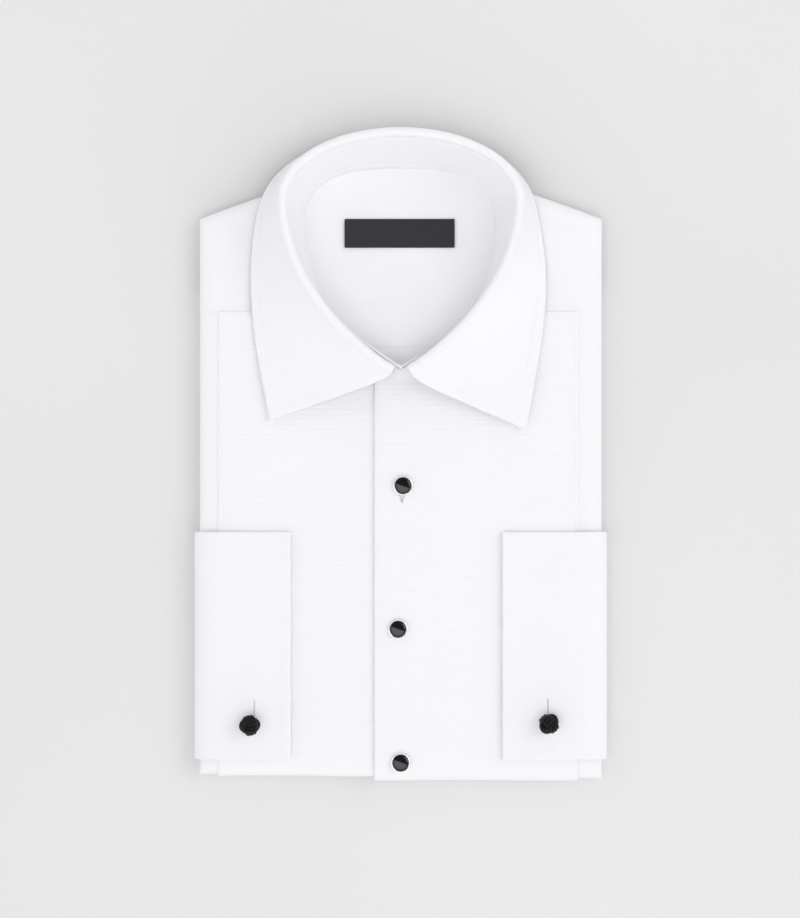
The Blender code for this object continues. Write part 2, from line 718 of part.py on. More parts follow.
def make_studs(bib_left, front_left, bib_right, front_right, core):
    """The studs, each a cup on a post with a back plate, and a polished inlay, in slots through the fronts."""
    base = STUD_BASE_Z
    back_high = STACK_TOP - PLY - 3 * GAP
    back_low = back_high - STUD_PLATE
    rim, plate = STUD_RADIUS, STUD_BACK_RADIUS
    for number, (x, y, slot_below) in enumerate(STUDS, 1):
        cup = [(0.0, back_low), (plate, back_low), (plate, back_high)]
        cup += [(STUD_POST_RADIUS, back_high), (STUD_POST_RADIUS, base)]
        cup += [(rim - 0.35, base), (rim, base + 0.35), (rim, base + 1.3), (rim - 0.3, base + 1.6)]
        cup += [(rim - STUD_RIM, base + 1.4), (rim - STUD_RIM, base + STUD_FLOOR), (0.0, base + STUD_FLOOR)]
        turned(f"stud_{number}", (x, y), cup, 20, SILVER)
        inlay = rim - STUD_RIM - INLAY_GAP
        dome = [(0.0, base + 1.0), (inlay, base + 1.0), (inlay, base + 1.7), (inlay * 0.86, base + 2.15)]
        dome += [(inlay * 0.5, base + 2.5), (0.0, base + 2.6)]
        turned(f"stud_{number}_inlay", (x, y), dome, 20, BLACK_GLOSS)
        half = STUD_SLOT_WIDTH / 2
        outline = box_outline(x - half, x + half, y - slot_below, y + 3.0)
        slot = prism(f"stud_slot_{number}", outline, STACK_TOP - 2.5, 30.0, helper=True)
        bore = [(0, 13), (1.5, 13), (1.5, 17), (0, 17)]
        hole = turned(f"stud_hole_{number}", (x, y), bore, 12, SILVER, True)
        recess = [(0, back_low - GAP), (plate + 0.5, back_low - GAP), (plate + 0.5, 15), (0, 15)]
        recess = turned(f"stud_recess_{number}", (x, y), recess, 14, SILVER, True)
        for target, cutter in ((bib_left, slot), (front_left, slot), (bib_right, hole), (front_right, hole)):
            cut(target, cutter)
        cut(core, recess)


def main():
    """Builds the shirt from the inside out."""
    clear_scene()
    core = make_core()
    front_right, front_left = make_fronts()
    bib_right, bib_left = make_bibs()
    yoke = make_yoke()
    make_back()
    make_inside()
    make_collar()
    neck = prism("neck_hole", neck_outline(2 * GAP), POCKET_Z, 60.0, helper=True)
    for target in (core, yoke, front_right, front_left, bib_right, bib_left):
        cut(target, neck)
    for link in LINKS:
        make_cuff(link)
        make_wrist(link)
        make_sleeve(link)
        make_link(link)
        side = math.copysign(1.0, link.x)
        xs = sorted((side * (WRIST_INNER_X - 1.0), side * (BODY_HALF + 4.0)))
        outline = box_outline(*xs, CUFF_OPEN_Y, CUFF_TOP_Y)
        low, high = WRIST_Z - SLEEVE_WALL / 2 - GAP, WRIST_Z + SLEEVE_WALL / 2 + GAP
        cut(core, prism("sleeve_slot_" + link.name, outline, low, high, helper=True))
    lap = box_outline(-LAP_EASE_END, LAP_HALF + 1.0, BOTTOM_FOLD_Y, HEM_Y)
    cut(core, prism("lap_recess", lap, 0.0, LAP_RISE + PLY + GAP, helper=True))
    make_studs(bib_left, front_left, bib_right, front_right, core)


main()
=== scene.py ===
"""The looks of a long sleeve dress shirt, folded flat with its front up."""

from __future__ import annotations

import logging
import math
from dataclasses import dataclass
from enum import Enum

import bmesh
import bpy
import numpy as np
from mathutils import Euler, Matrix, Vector


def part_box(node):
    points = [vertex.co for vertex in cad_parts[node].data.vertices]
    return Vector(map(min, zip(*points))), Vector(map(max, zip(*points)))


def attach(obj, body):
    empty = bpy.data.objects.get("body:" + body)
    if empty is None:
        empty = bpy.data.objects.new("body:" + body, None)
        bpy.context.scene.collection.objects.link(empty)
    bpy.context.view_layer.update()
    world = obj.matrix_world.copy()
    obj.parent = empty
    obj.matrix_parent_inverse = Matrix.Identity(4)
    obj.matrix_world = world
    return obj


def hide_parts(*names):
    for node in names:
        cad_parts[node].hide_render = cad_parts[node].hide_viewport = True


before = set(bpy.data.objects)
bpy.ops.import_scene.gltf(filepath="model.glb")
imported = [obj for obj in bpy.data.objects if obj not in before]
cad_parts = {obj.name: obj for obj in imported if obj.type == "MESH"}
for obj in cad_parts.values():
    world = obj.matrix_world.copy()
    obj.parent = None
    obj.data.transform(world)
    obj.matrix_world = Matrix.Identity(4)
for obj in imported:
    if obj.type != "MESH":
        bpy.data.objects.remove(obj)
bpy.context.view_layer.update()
LOG = logging.getLogger("shirt")
MM = 0.001


class Wire:
    """A node socket that arithmetic can be written on."""

    def __init__(self, tree: "Tree", socket: bpy.types.NodeSocket) -> None:
        """Keeps the tree that the socket belongs to."""
        self.tree, self.socket = tree, socket

    def _with(self, operation: str, first: object, second: object) -> "Wire":
        """The result of a Math node on two values."""
        return self.tree.node("ShaderNodeMath", {"operation": operation}, {0: first, 1: second})

    def __add__(self, other: object) -> "Wire":
        """Sum."""
        return self._with("ADD", self, other)

    __radd__ = __add__

    def __mul__(self, other: object) -> "Wire":
        """Product."""
        return self._with("MULTIPLY", self, other)

    def __sub__(self, other: object) -> "Wire":
        """Difference."""
        return self._with("SUBTRACT", self, other)

    def __rsub__(self, other: object) -> "Wire":
        """Difference, reflected."""
        return self._with("SUBTRACT", other, self)


class Tree:
    """The nodes of a material or of the world, made with one method."""

    def __init__(self, owner: bpy.types.ID) -> None:
        """Empties the owner's nodes."""
        self.owner = owner
        owner.use_nodes = True
        self.nodes, self.links = owner.node_tree.nodes, owner.node_tree.links
        self.nodes.clear()

    def node(
        self, kind: str, settings: dict | None = None, values: dict | None = None, out: object = 0
    ) -> Wire:
        """Any node.

        Args:
            kind: The node's type.
            settings: What is set on the node itself.
            values: Numbers, colours or wires for its sockets, by name or index.
            out: Which output is wanted.

        Returns:
            The output as a wire.
        """
        made = self.nodes.new(kind)
        for key, value in (settings or {}).items():
            setattr(made, key, value)
        for key, value in (values or {}).items():
            if isinstance(value, Wire):
                self.links.new(value.socket, made.inputs[key])
            else:
                made.inputs[key].default_value = value
        return Wire(self, made.outputs[out])


Grid = np.ndarray

# Sizes in millimetres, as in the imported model
GAP = 0.3
BODY_HALF, ROLL_WIDTH = 117.0, 11.0
FLAT_HALF = BODY_HALF - ROLL_WIDTH
STACK_TOP, SIDE_DROP = 14.7, 5.5
BOTTOM_FOLD_Y = -184.9
LAP_HALF, LAP_RISE = 15.0, 2.6
YOKE_SEAM_Y = 84.0
INNER_SEAM_Y = 64.8
CLOTH = 0.6

# How low and how high the cutters reach
NECK_CUT_LOW, NECK_CUT_TOP = 9.0, 60.0
SLOT_LOW, NOTCH_LOW, SLIT_LOW, CUT_TOP = 15.6, 17.7, 19.0, 30.0
HOLE_LOW, HOLE_TOP = 12.0, 17.0


# ---- Finishes ----


def finish_shader(tree: Tree, values: dict, constants: dict) -> bpy.types.Material:
    """Ends a material in a Principled shader.

    Args:
        tree: The material's nodes.
        values: What varies over the surface, by socket.
        constants: What is the same all over, by socket.

    Returns:
        The finished material.
    """
    shader = tree.node("ShaderNodeBsdfPrincipled", {}, values)
    for key, value in constants.items():
        shader.socket.node.inputs[key].default_value = value
    output = tree.nodes.new("ShaderNodeOutputMaterial")
    tree.links.new(shader.socket, output.inputs[0])
    return tree.owner


def blend(tree: Tree, share: Wire, low: tuple, high: tuple) -> Wire:
    """A colour between two, by a share."""
    return tree.node("ShaderNodeMix", {"data_type": "RGBA"}, {0: share, 6: (*low, 1.0), 7: (*high, 1.0)}, 2)


def sine(tree: Tree, value: Wire) -> Wire:
    """The sine of a value."""
    return tree.node("ShaderNodeMath", {"operation": "SINE"}, {0: value})


@dataclass(frozen=True)
class Cotton:
    """White shirting in a plain weave that follows the cloth's own UV map, in metres."""

    name: str
    colour: tuple = (0.905, 0.9, 0.93)
    pitch: float = 0.00042
    depth: float = 0.00003
    wrinkle: float = 1.0

    def material(self) -> bpy.types.Material:
        """Builds the cloth's nodes."""
        tree = Tree(bpy.data.materials.new(self.name))
        thread = tree.node("ShaderNodeTexCoord", out="UV")
        place = tree.node("ShaderNodeTexCoord", out="Object")
        axes = tree.node("ShaderNodeSeparateXYZ", {}, {0: thread}).socket.node.outputs
        turns = 2 * math.pi / self.pitch
        weave = sine(tree, Wire(tree, axes[0]) * turns) * sine(tree, Wire(tree, axes[1]) * turns)
        slub = tree.node("ShaderNodeTexNoise", {}, {"Vector": thread, "Scale": 900.0, "Detail": 2.0}, "Fac")
        soft = tree.node("ShaderNodeTexNoise", {}, {"Vector": place, "Scale": 38.0, "Detail": 4.0}, "Fac")
        threads = tree.node(
            "ShaderNodeBump", {}, {"Height": weave * 0.5 + slub, "Distance": self.depth, "Strength": 0.5}
        )
        bump = tree.node(
            "ShaderNodeBump",
            {},
            {"Height": soft, "Distance": 0.0009 * self.wrinkle, "Strength": 0.35, "Normal": threads},
        )
        shade = tuple(value * 0.965 for value in self.colour)
        tint = blend(tree, slub * 0.5 + soft * 0.5, shade, self.colour)
        values = {"Base Color": tint, "Roughness": slub * 0.1 + 0.78, "Normal": bump}
        return finish_shader(tree, values, {"Sheen Weight": 0.12, "Specular IOR Level": 0.3})


@dataclass(frozen=True)
class Hard:
    """A smooth hard finish with a trace of variation."""

    name: str
    colour: tuple
    roughness: float
    metallic: float = 0.0
    grain: float = 400.0
    depth: float = 0.000004

    def material(self) -> bpy.types.Material:
        """Builds the finish's nodes."""
        tree = Tree(bpy.data.materials.new(self.name))
        place = tree.node("ShaderNodeTexCoord", out="Object")
        noise = {"Vector": place, "Scale": self.grain, "Detail": 2.0}
        grain = tree.node("ShaderNodeTexNoise", {}, noise, "Fac")
        bump = tree.node("ShaderNodeBump", {}, {"Height": grain, "Distance": self.depth, "Strength": 0.4})
        tint = blend(tree, grain, tuple(value * 0.85 for value in self.colour), self.colour)
        values = {"Base Color": tint, "Roughness": grain * 0.05 + self.roughness, "Normal": bump}
        return finish_shader(tree, values, {"Metallic": self.metallic})


@dataclass(frozen=True)
class Twisted:
    """Silk cord or ribbed ribbon: fine diagonal ridges across the piece's own UV map, with painted shade
    darkening the troughs between them.
    """

    name: str
    colour: tuple
    along: float
    around: float
    depth: float = 0.00012
    roughness: float = 0.5
    shine: float = 0.35

    def material(self) -> bpy.types.Material:
        """Builds the cord's nodes."""
        tree = Tree(bpy.data.materials.new(self.name))
        thread = tree.node("ShaderNodeTexCoord", out="UV")
        axes = tree.node("ShaderNodeSeparateXYZ", {}, {0: thread}).socket.node.outputs
        ridge = sine(tree, Wire(tree, axes[0]) * self.along + Wire(tree, axes[1]) * self.around) * 0.5 + 0.5
        bump = tree.node("ShaderNodeBump", {}, {"Height": ridge, "Distance": self.depth, "Strength": 0.7})
        # Painted shade: the base colour darkens to 45% in the troughs between the ridges.
        tint = blend(tree, ridge, tuple(value * 0.45 for value in self.colour), self.colour)
        values = {"Base Color": tint, "Roughness": ridge * -0.1 + self.roughness, "Normal": bump}
        return finish_shader(tree, values, {"Specular IOR Level": self.shine})


class Wardrobe:
    """Every finish of the shirt, made once."""

    def __init__(self) -> None:
        """Makes the materials."""
        self.cotton = Cotton("white_poplin").material()
        self.pleated = Cotton("pleated_poplin", wrinkle=0.6).material()
        self.thread = Cotton("white_thread", (0.88, 0.875, 0.9), pitch=0.0009, depth=0.00006).material()
        self.label = Twisted(
            "black_woven_ribbon", (0.03, 0.029, 0.034), 9000.0, 9000.0, depth=0.00005, roughness=0.7
        ).material()
        black = (0.006, 0.006, 0.008)
        self.cord = Twisted(
            "black_silk_cord", black, 5200.0, 4 * math.pi, depth=0.00018, roughness=0.34, shine=0.22
        ).material()
        self.silver = Hard("polished_silver", (0.95, 0.95, 0.96), 0.14, metallic=1.0).material()
        self.gloss = Hard("black_gloss_inlay", black, 0.06, grain=80.0, depth=0.000001).material()
        self.floor = Hard("pale_floor", (0.83, 0.83, 0.83), 0.92, grain=2.0).material()


# ---- Making meshes ----


def ease(value: Grid, start: float, end: float) -> Grid:
    """0 at the start, 1 at the end and smooth between them."""
    share = np.clip((value - start) / (end - start), 0.0, 1.0)
    return share * share * (3.0 - 2.0 * share)


def hump(value: Grid, centre: float, width: float) -> Grid:
    """A smooth bump of height 1 round a centre."""
    return np.exp(-(((value - centre) / width) ** 2))


def unit(vectors: Grid) -> Grid:
    """The vectors at a length of one."""
    return vectors / np.maximum(np.linalg.norm(vectors, axis=-1, keepdims=True), 1e-9)


def normals_of(grid: Grid) -> Grid:
    """The direction square to a grid at each of its points."""
    return unit(np.cross(np.gradient(grid, axis=0), np.gradient(grid, axis=1)))


def arc_lengths(grid: Grid, axis: int) -> Grid:
    """How far each point is along its row or column."""
    gaps = np.linalg.norm(np.diff(grid, axis=axis), axis=2)
    start = np.zeros_like(np.take(gaps, [0], axis=axis))
    return np.concatenate([start, np.cumsum(gaps, axis=axis)], axis=axis)


def placed(name: str, data: bpy.types.ID) -> bpy.types.Object:
    """A new object of a mesh, a light or a camera, linked to the scene."""
    made = bpy.data.objects.new(name, data)
    bpy.context.scene.collection.objects.link(made)
    return made


def closed_mesh(name: str, shape: bmesh.types.BMesh) -> bpy.types.Mesh:
    """The mesh of a closed shape, its faces outward."""
    bmesh.ops.recalc_face_normals(shape, faces=shape.faces)
    mesh = bpy.data.meshes.new(name)
    shape.to_mesh(mesh)
    shape.free()
    return mesh


def new_piece(
    name: str, points: Grid, faces: Grid, uv: Grid | None, finish: bpy.types.Material
) -> bpy.types.Object:
    """A mesh object.

    Args:
        name: The piece's name.
        points: Its points, in millimetres.
        faces: Its four-sided faces, as point numbers.
        uv: A pair for each point, in metres, or None.
        finish: Its material.

    Returns:
        The linked object, at the origin.
    """
    mesh = bpy.data.meshes.new(name)
    mesh.vertices.add(len(points))
    mesh.vertices.foreach_set("co", (points * MM).astype(np.float32).ravel())
    mesh.loops.add(faces.size)
    mesh.loops.foreach_set("vertex_index", faces.astype(np.int32).ravel())
    mesh.polygons.add(len(faces))
    mesh.polygons.foreach_set("loop_start", np.arange(0, faces.size, faces.shape[1], dtype=np.int32))
    mesh.update(calc_edges=True)
    if uv is not None:
        layer = mesh.uv_layers.new(name="thread")
        layer.data.foreach_set("uv", uv[faces.ravel()].astype(np.float32).ravel())
    mesh.validate()
    mesh.shade_smooth()
    mesh.materials.append(finish)
    return placed(name, mesh)


def shell(
    name: str, grid: Grid, thickness: float, finish: bpy.types.Material, relief: Grid | None = None
) -> bpy.types.Object:
    """A closed sheet of cloth with round edges.

    Args:
        name: The piece's name.
        grid: The middle of the cloth. Its face is the first axis crossed with the second.
        thickness: How thick the cloth is.
        finish: Its material.
        relief: How far its face stands out further, for each point.

    Returns:
        The piece.
    """
    across, along = grid.shape[:2]
    normal = normals_of(grid)
    lift = np.zeros((across, along)) if relief is None else relief
    outer = grid + normal * (thickness / 2 + lift)[..., None]
    inner = grid - normal * (thickness / 2)
    number = np.arange(across * along).reshape(across, along)
    border = np.concatenate([number[:, 0], number[-1, 1:], number[-2::-1, -1], number[0, -2:0:-1]])
    flat_grid, flat_normal = grid.reshape(-1, 3)[border], normal.reshape(-1, 3)[border]
    tangent = unit(np.roll(flat_grid, -1, axis=0) - np.roll(flat_grid, 1, axis=0))
    away = unit(np.cross(tangent, flat_normal))
    rings = []
    for angle in (45.0, 90.0, 135.0):
        turn = math.radians(angle)
        reach = flat_normal * math.cos(turn) + away * math.sin(turn)
        rings.append(flat_grid + reach * (thickness / 2))
    points = np.concatenate([outer.reshape(-1, 3), inner.reshape(-1, 3), *rings])
    here, right = number[:-1, :-1].ravel(), number[1:, :-1].ravel()
    corner, ahead = number[1:, 1:].ravel(), number[:-1, 1:].ravel()
    count = across * along
    faces = [np.stack([here, right, corner, ahead], 1), np.stack([here, ahead, corner, right], 1) + count]
    ring_numbers = [2 * count + k * len(border) + np.arange(len(border)) for k in range(len(rings))]
    levels = [border, *ring_numbers, border + count]
    for upper, lower in zip(levels, levels[1:]):
        faces.append(np.stack([np.roll(upper, -1), upper, lower, np.roll(lower, -1)], 1))
    uv = np.stack([arc_lengths(grid, 0), arc_lengths(grid, 1)], 2).reshape(-1, 2) * MM
    uv = np.concatenate([uv, uv] + [uv[border]] * len(rings))
    return new_piece(name, points, np.concatenate(faces), uv, finish)


def facing_up(grid: Grid, place: tuple = (0.5, 0.1)) -> Grid:
    """The grid, turned round if its face points down at a place given by two shares."""
    i, j = int(grid.shape[0] * place[0]), int(grid.shape[1] * place[1])
    return grid if normals_of(grid)[i, j, 2] > 0 else grid[::-1]


def turned(
    name: str, centre: tuple, profile: list, sides: int, finish: bpy.types.Material
) -> bpy.types.Object:
    """A solid turned about an upright axis, from (radius, height) points whose ends lie on the axis."""
    angles = np.linspace(0, 2 * np.pi, sides, endpoint=False)
    rings = [
        np.stack([centre[0] + r * np.cos(angles), centre[1] + r * np.sin(angles), np.full(sides, z)], 1)
        for r, z in profile[1:-1]
    ]
    ends = np.array([[*centre, profile[0][1]], [*centre, profile[-1][1]]])
    points = np.concatenate([*rings, ends])
    shape = bmesh.new()
    corners = [shape.verts.new(point * MM) for point in points]
    for ring in range(len(rings) - 1):
        for k in range(sides):
            a, b = ring * sides + k, ring * sides + (k + 1) % sides
            shape.faces.new([corners[n] for n in (a, b, b + sides, a + sides)])
    last = (len(rings) - 1) * sides
    for k in range(sides):
        after = (k + 1) % sides
        shape.faces.new([corners[-2], corners[after], corners[k]])
        shape.faces.new([corners[-1], corners[last + k], corners[last + after]])
    mesh = closed_mesh(name, shape)
    mesh.shade_smooth()
    mesh.set_sharp_from_angle(angle=math.radians(40))
    mesh.materials.append(finish)
    return placed(name, mesh)


def prism(name: str, outline: list, low: float, high: float) -> bpy.types.Object:
    """An upright cutter on an outline of (x, y) points."""
    shape = bmesh.new()
    rings = [[shape.verts.new((x * MM, y * MM, z * MM)) for x, y in outline] for z in (low, high)]
    for ring in rings:
        shape.faces.new(ring)
    for k in range(len(outline)):
        after = (k + 1) % len(outline)
        shape.faces.new([rings[0][k], rings[0][after], rings[1][after], rings[1][k]])
    mesh = closed_mesh(name, shape)
    return placed(name, mesh)


def oblong(x: float, y: float, half_wide: float, half_long: float) -> list:
    """The corners of an oblong round a point."""
    return [(x + half_wide * i, y + half_long * j) for i, j in ((-1, -1), (1, -1), (1, 1), (-1, 1))]


def carve(piece: bpy.types.Object, cutters: list) -> None:
    """Takes the cutters' shapes out of a piece, leaving a plain mesh."""
    for cutter in cutters:
        modifier = piece.modifiers.new(cutter.name, "BOOLEAN")
        modifier.operation, modifier.solver, modifier.object = "DIFFERENCE", "MANIFOLD", cutter
    graph = bpy.context.evaluated_depsgraph_get()
    mesh = bpy.data.meshes.new_from_object(piece.evaluated_get(graph))
    piece.modifiers.clear()
    piece.data = mesh
    mesh.shade_smooth()
    mesh.set_sharp_from_angle(angle=math.radians(50))


def join_frame(piece: bpy.types.Object, slot: str, *nodes: str) -> bpy.types.Object:
    """Rides a piece on the shirt and hides the nodes it stands for."""
    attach(piece, "root")
    if nodes:
        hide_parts(*nodes)
    LOG.info("made %s", piece.name)
    return piece


def declare(grid: Grid, opened: bool = False) -> None:
    """Works out the area of each cell of a piece's grid, without keeping or returning it.

    Args:
        grid: Its middle surface.
        opened: Whether the neck is cut out of it, so that the cloth there isn't counted.
    """
    cross = np.cross(np.diff(grid, axis=0)[:, :-1], np.diff(grid, axis=1)[:-1])
    cells = np.linalg.norm(cross, axis=2)
    if opened:
        middle = (grid[1:, 1:] + grid[:-1, :-1]) / 2
        half = np.vectorize(PLY_EDGE.half_at)(middle[..., 1])
        cells = cells * ((np.abs(middle[..., 0]) >= half) | (middle[..., 2] < NECK_CUT_LOW))


# ---- Stitches ----


class Stitching:
    """Running stitches along lines on the cloth, laid by one node tree."""

    def __init__(self, thread: bpy.types.Material) -> None:
        """Builds the tree."""
        self.tree = bpy.data.node_groups.new("running_stitch", "GeometryNodeTree")
        face = self.tree.interface
        face.new_socket("Line", in_out="INPUT", socket_type="NodeSocketGeometry")
        self.sockets = {
            name: face.new_socket(name, in_out="INPUT", socket_type="NodeSocketFloat").identifier
            for name in ("Pitch", "Length", "Width")
        }
        face.new_socket("Stitches", in_out="OUTPUT", socket_type="NodeSocketGeometry")
        start = self._node("NodeGroupInput")
        line = self._node("GeometryNodeMeshToCurve", {}, {0: start.outputs["Line"]})
        spaced = self._node("GeometryNodeResampleCurve", {"mode": "LENGTH"}, {"Curve": line.outputs[0]})
        self.tree.links.new(start.outputs["Pitch"], spaced.inputs["Length"])
        bead = self._node("GeometryNodeMeshUVSphere", {}, {"Segments": 6, "Rings": 4, "Radius": 0.5})
        size = self._node(
            "ShaderNodeCombineXYZ",
            {},
            {0: start.outputs["Length"], 1: start.outputs["Width"], 2: start.outputs["Width"]},
        )
        scaled = {"Geometry": bead.outputs[0], "Scale": size.outputs[0]}
        shaped = self._node("GeometryNodeTransform", {}, scaled)
        tangent = self._node("GeometryNodeInputTangent")
        aim = self._node("FunctionNodeAlignRotationToVector", {"axis": "X"}, {"Vector": tangent.outputs[0]})
        laid = self._node(
            "GeometryNodeInstanceOnPoints",
            {},
            {"Points": spaced.outputs[0], "Instance": shaped.outputs[0], "Rotation": aim.outputs[0]},
        )
        real = self._node("GeometryNodeRealizeInstances", {}, {0: laid.outputs[0]})
        dressed = self._node("GeometryNodeSetMaterial", {}, {"Geometry": real.outputs[0], "Material": thread})
        end = self._node("NodeGroupOutput")
        self.tree.links.new(dressed.outputs[0], end.inputs[0])

    def _node(self, kind: str, settings: dict | None = None, values: dict | None = None) -> bpy.types.Node:
        """A node of the tree, with its settings and its sockets' links or values."""
        made = self.tree.nodes.new(kind)
        for key, value in (settings or {}).items():
            setattr(made, key, value)
        for key, value in (values or {}).items():
            if isinstance(value, bpy.types.NodeSocket):
                self.tree.links.new(value, made.inputs[key])
            else:
                made.inputs[key].default_value = value
        return made

    def sew(
        self, name: str, lines: list, pitch: float = 2.3, length: float = 1.8, width: float = 0.22
    ) -> None:
        """Lays stitches along lines of points and rides them on the shirt.

        Args:
            name: The stitches' name.
            lines: Arrays of points, in millimetres.
            pitch: From one stitch to the next.
            length: How long each stitch is.
            width: How wide each stitch is.
        """
        mesh = bpy.data.meshes.new(name)
        points, edges = [], []
        for line in lines:
            first = len(points)
            points += [tuple(point * MM) for point in line]
            edges += [(k, k + 1) for k in range(first, len(points) - 1)]
        mesh.from_pydata(points, edges, [])
        guide = placed(name + "_guide", mesh)
        modifier = guide.modifiers.new("stitches", "NODES")
        modifier.node_group = self.tree
        for key, value in (("Pitch", pitch), ("Length", length), ("Width", width)):
            modifier[self.sockets[key]] = value * MM
        graph = bpy.context.evaluated_depsgraph_get()
        made = bpy.data.meshes.new_from_object(guide.evaluated_get(graph))
        bpy.data.objects.remove(guide, do_unlink=True)
        made.shade_smooth()
        join_frame(placed(name, made), "white_cotton")


def inset_line(grid: Grid, distance: float, lift: float, skip: int = 0) -> Grid:
    """Points a distance in from the grid's last point of each row, lifted off its face."""
    lengths = arc_lengths(grid, 1)
    raised = grid + normals_of(grid) * lift
    line = []
    for row, far in zip(raised, lengths):
        line.append([np.interp(far[-1] - distance, far, row[:, k]) for k in range(3)])
    return np.array(line[skip : len(line) - skip])


# ---- The folded plies ----


class Lap(Enum):
    """How a ply lies where the left front laps over the right one."""

    OVER = "over"
    UNDER = "under"
    NONE = "none"


class Run(Enum):
    """The stretch of a ply that a row of points lies in."""

    OVER = "over"
    FOLD = "fold"
    UNDER = "under"


def shoulder_edge(x: Grid) -> Grid:
    """How far up the stack reaches, lower towards the sleeves."""
    return 172.0 - 33.7 * (np.abs(x) / BODY_HALF) ** 1.32


def slack(x: Grid, y: Grid) -> Grid:
    """How far the cloth stands off the stack, in broad soft waves."""
    waves = 0.14 * np.sin(x * 0.047 + 1.3) * np.sin(y * 0.031 + 0.4) + 0.08 * np.sin(x * 0.11 + y * 0.06)
    return waves + 0.7 * hump(x, -104.0, 6.0) * hump(y, 84.0, 17.0)


def columns(x_from: float, x_to: float, count: int) -> Grid:
    """Stations across a ply: x, side, angle of the roll, angle of the tuck and how far it is tucked in."""
    flat = [(x, 0, 0, 0, 0) for x in np.linspace(x_from, x_to, count)]
    bend = [(angle, 0, 0) for angle in range(6, 91, 6)]
    bend += [(90, tuck, 0) for tuck in range(15, 91, 15)] + [(90, 90, step) for step in (1.5, 3.0, 4.5)]
    left = [(FLAT_HALF, 1, *row) for row in bend] if x_to >= FLAT_HALF else []
    right = [(-FLAT_HALF, -1, *row) for row in reversed(bend)] if x_from <= -FLAT_HALF else []
    return np.array(right + flat + left, float)


def rows(over: list, fold_to: float, under: int) -> list:
    """Stations along a ply: on top by share, round its end fold by angle, and underneath by share."""
    turns = np.linspace(0.0, fold_to, 22)[1:]
    below = [(Run.UNDER, share) for share in np.linspace(0.0, 1.0, under + 1)[1:]] if under else []
    return [(Run.OVER, share) for share in over] + [(Run.FOLD, angle) for angle in turns] + below


@dataclass(frozen=True)
class Ply:
    """The face of a folded ply."""

    lap: Lap
    roll_under: float
    end: int
    seam_y: float
    hem_y: float
    fold_depth: float
    under_z: float = 0.0
    tuck: float = 1.4

    def top(self, x: Grid) -> Grid:
        """Height of the face on top."""
        rise = LAP_RISE * (1.0 - ease(x, 20.0, 58.0)) if self.lap is Lap.OVER else 0.0 * x
        return STACK_TOP + rise

    def under(self, x: Grid) -> Grid:
        """Height of the face underneath."""
        return LAP_RISE * ease(x, -58.0, -20.0) if self.lap is Lap.UNDER else self.under_z + 0.0 * x

    def fold_y(self, x: Grid) -> Grid:
        """Where the ply turns under."""
        if self.end > 0:
            return shoulder_edge(x)
        return BOTTOM_FOLD_Y - (LAP_RISE if self.lap is Lap.OVER else 0.0) + 0.25 * np.sin(x * 0.06)

    def face(self, across: Grid, along: list, offset: float) -> Grid:
        """The ply's face moved out by the offset.

        Args:
            across: Stations from columns().
            along: Stations from rows().
            offset: How far out from the face, in millimetres.

        Returns:
            A point for each column and row.
        """
        base, side, roll, tuck, tucked = across.T
        roll, tuck = np.radians(roll), np.radians(tuck)
        curl = self.tuck + offset
        x = base + side * ((ROLL_WIDTH + offset) * np.sin(roll) - curl * (1 - np.cos(tuck)) - tucked)
        down, drop = 1.0 - np.cos(roll), curl * np.sin(tuck)
        top = self.top(base) + offset - (SIDE_DROP + offset) * down - drop
        under = self.under(base) - offset + (self.roll_under + offset) * down + drop
        full_half = (self.top(base) - self.under(base)) / 2 + offset
        middle, half = (top + under) / 2, (top - under) / 2
        depth = (self.fold_depth + offset) * half / full_half
        centre = self.fold_y(x) + self.end * (offset - depth)
        lines = []
        for run, value in along:
            if run is Run.OVER:
                y = self.seam_y + (centre - self.seam_y) * value
                z = top + slack(base, y) * (1 - value**6) * (1 - down)
            elif run is Run.FOLD:
                turn = math.radians(value)
                y, z = centre + self.end * depth * math.sin(turn), middle + half * math.cos(turn)
            else:
                y, z = centre + (self.hem_y - centre) * value, under
            lines.append(np.stack([x, y, z], 1))
        return np.stack(lines, 1)


RIGHT_FRONT = Ply(Lap.UNDER, 4.0, -1, YOKE_SEAM_Y, 95.0, 9.0)
LEFT_FRONT = Ply(Lap.OVER, 4.0, -1, YOKE_SEAM_Y, 95.0, 9.0 + LAP_RISE)
YOKE = Ply(Lap.NONE, 1.7, 1, YOKE_SEAM_Y + GAP, 116.0, 6.0, 4.3, 1.0)


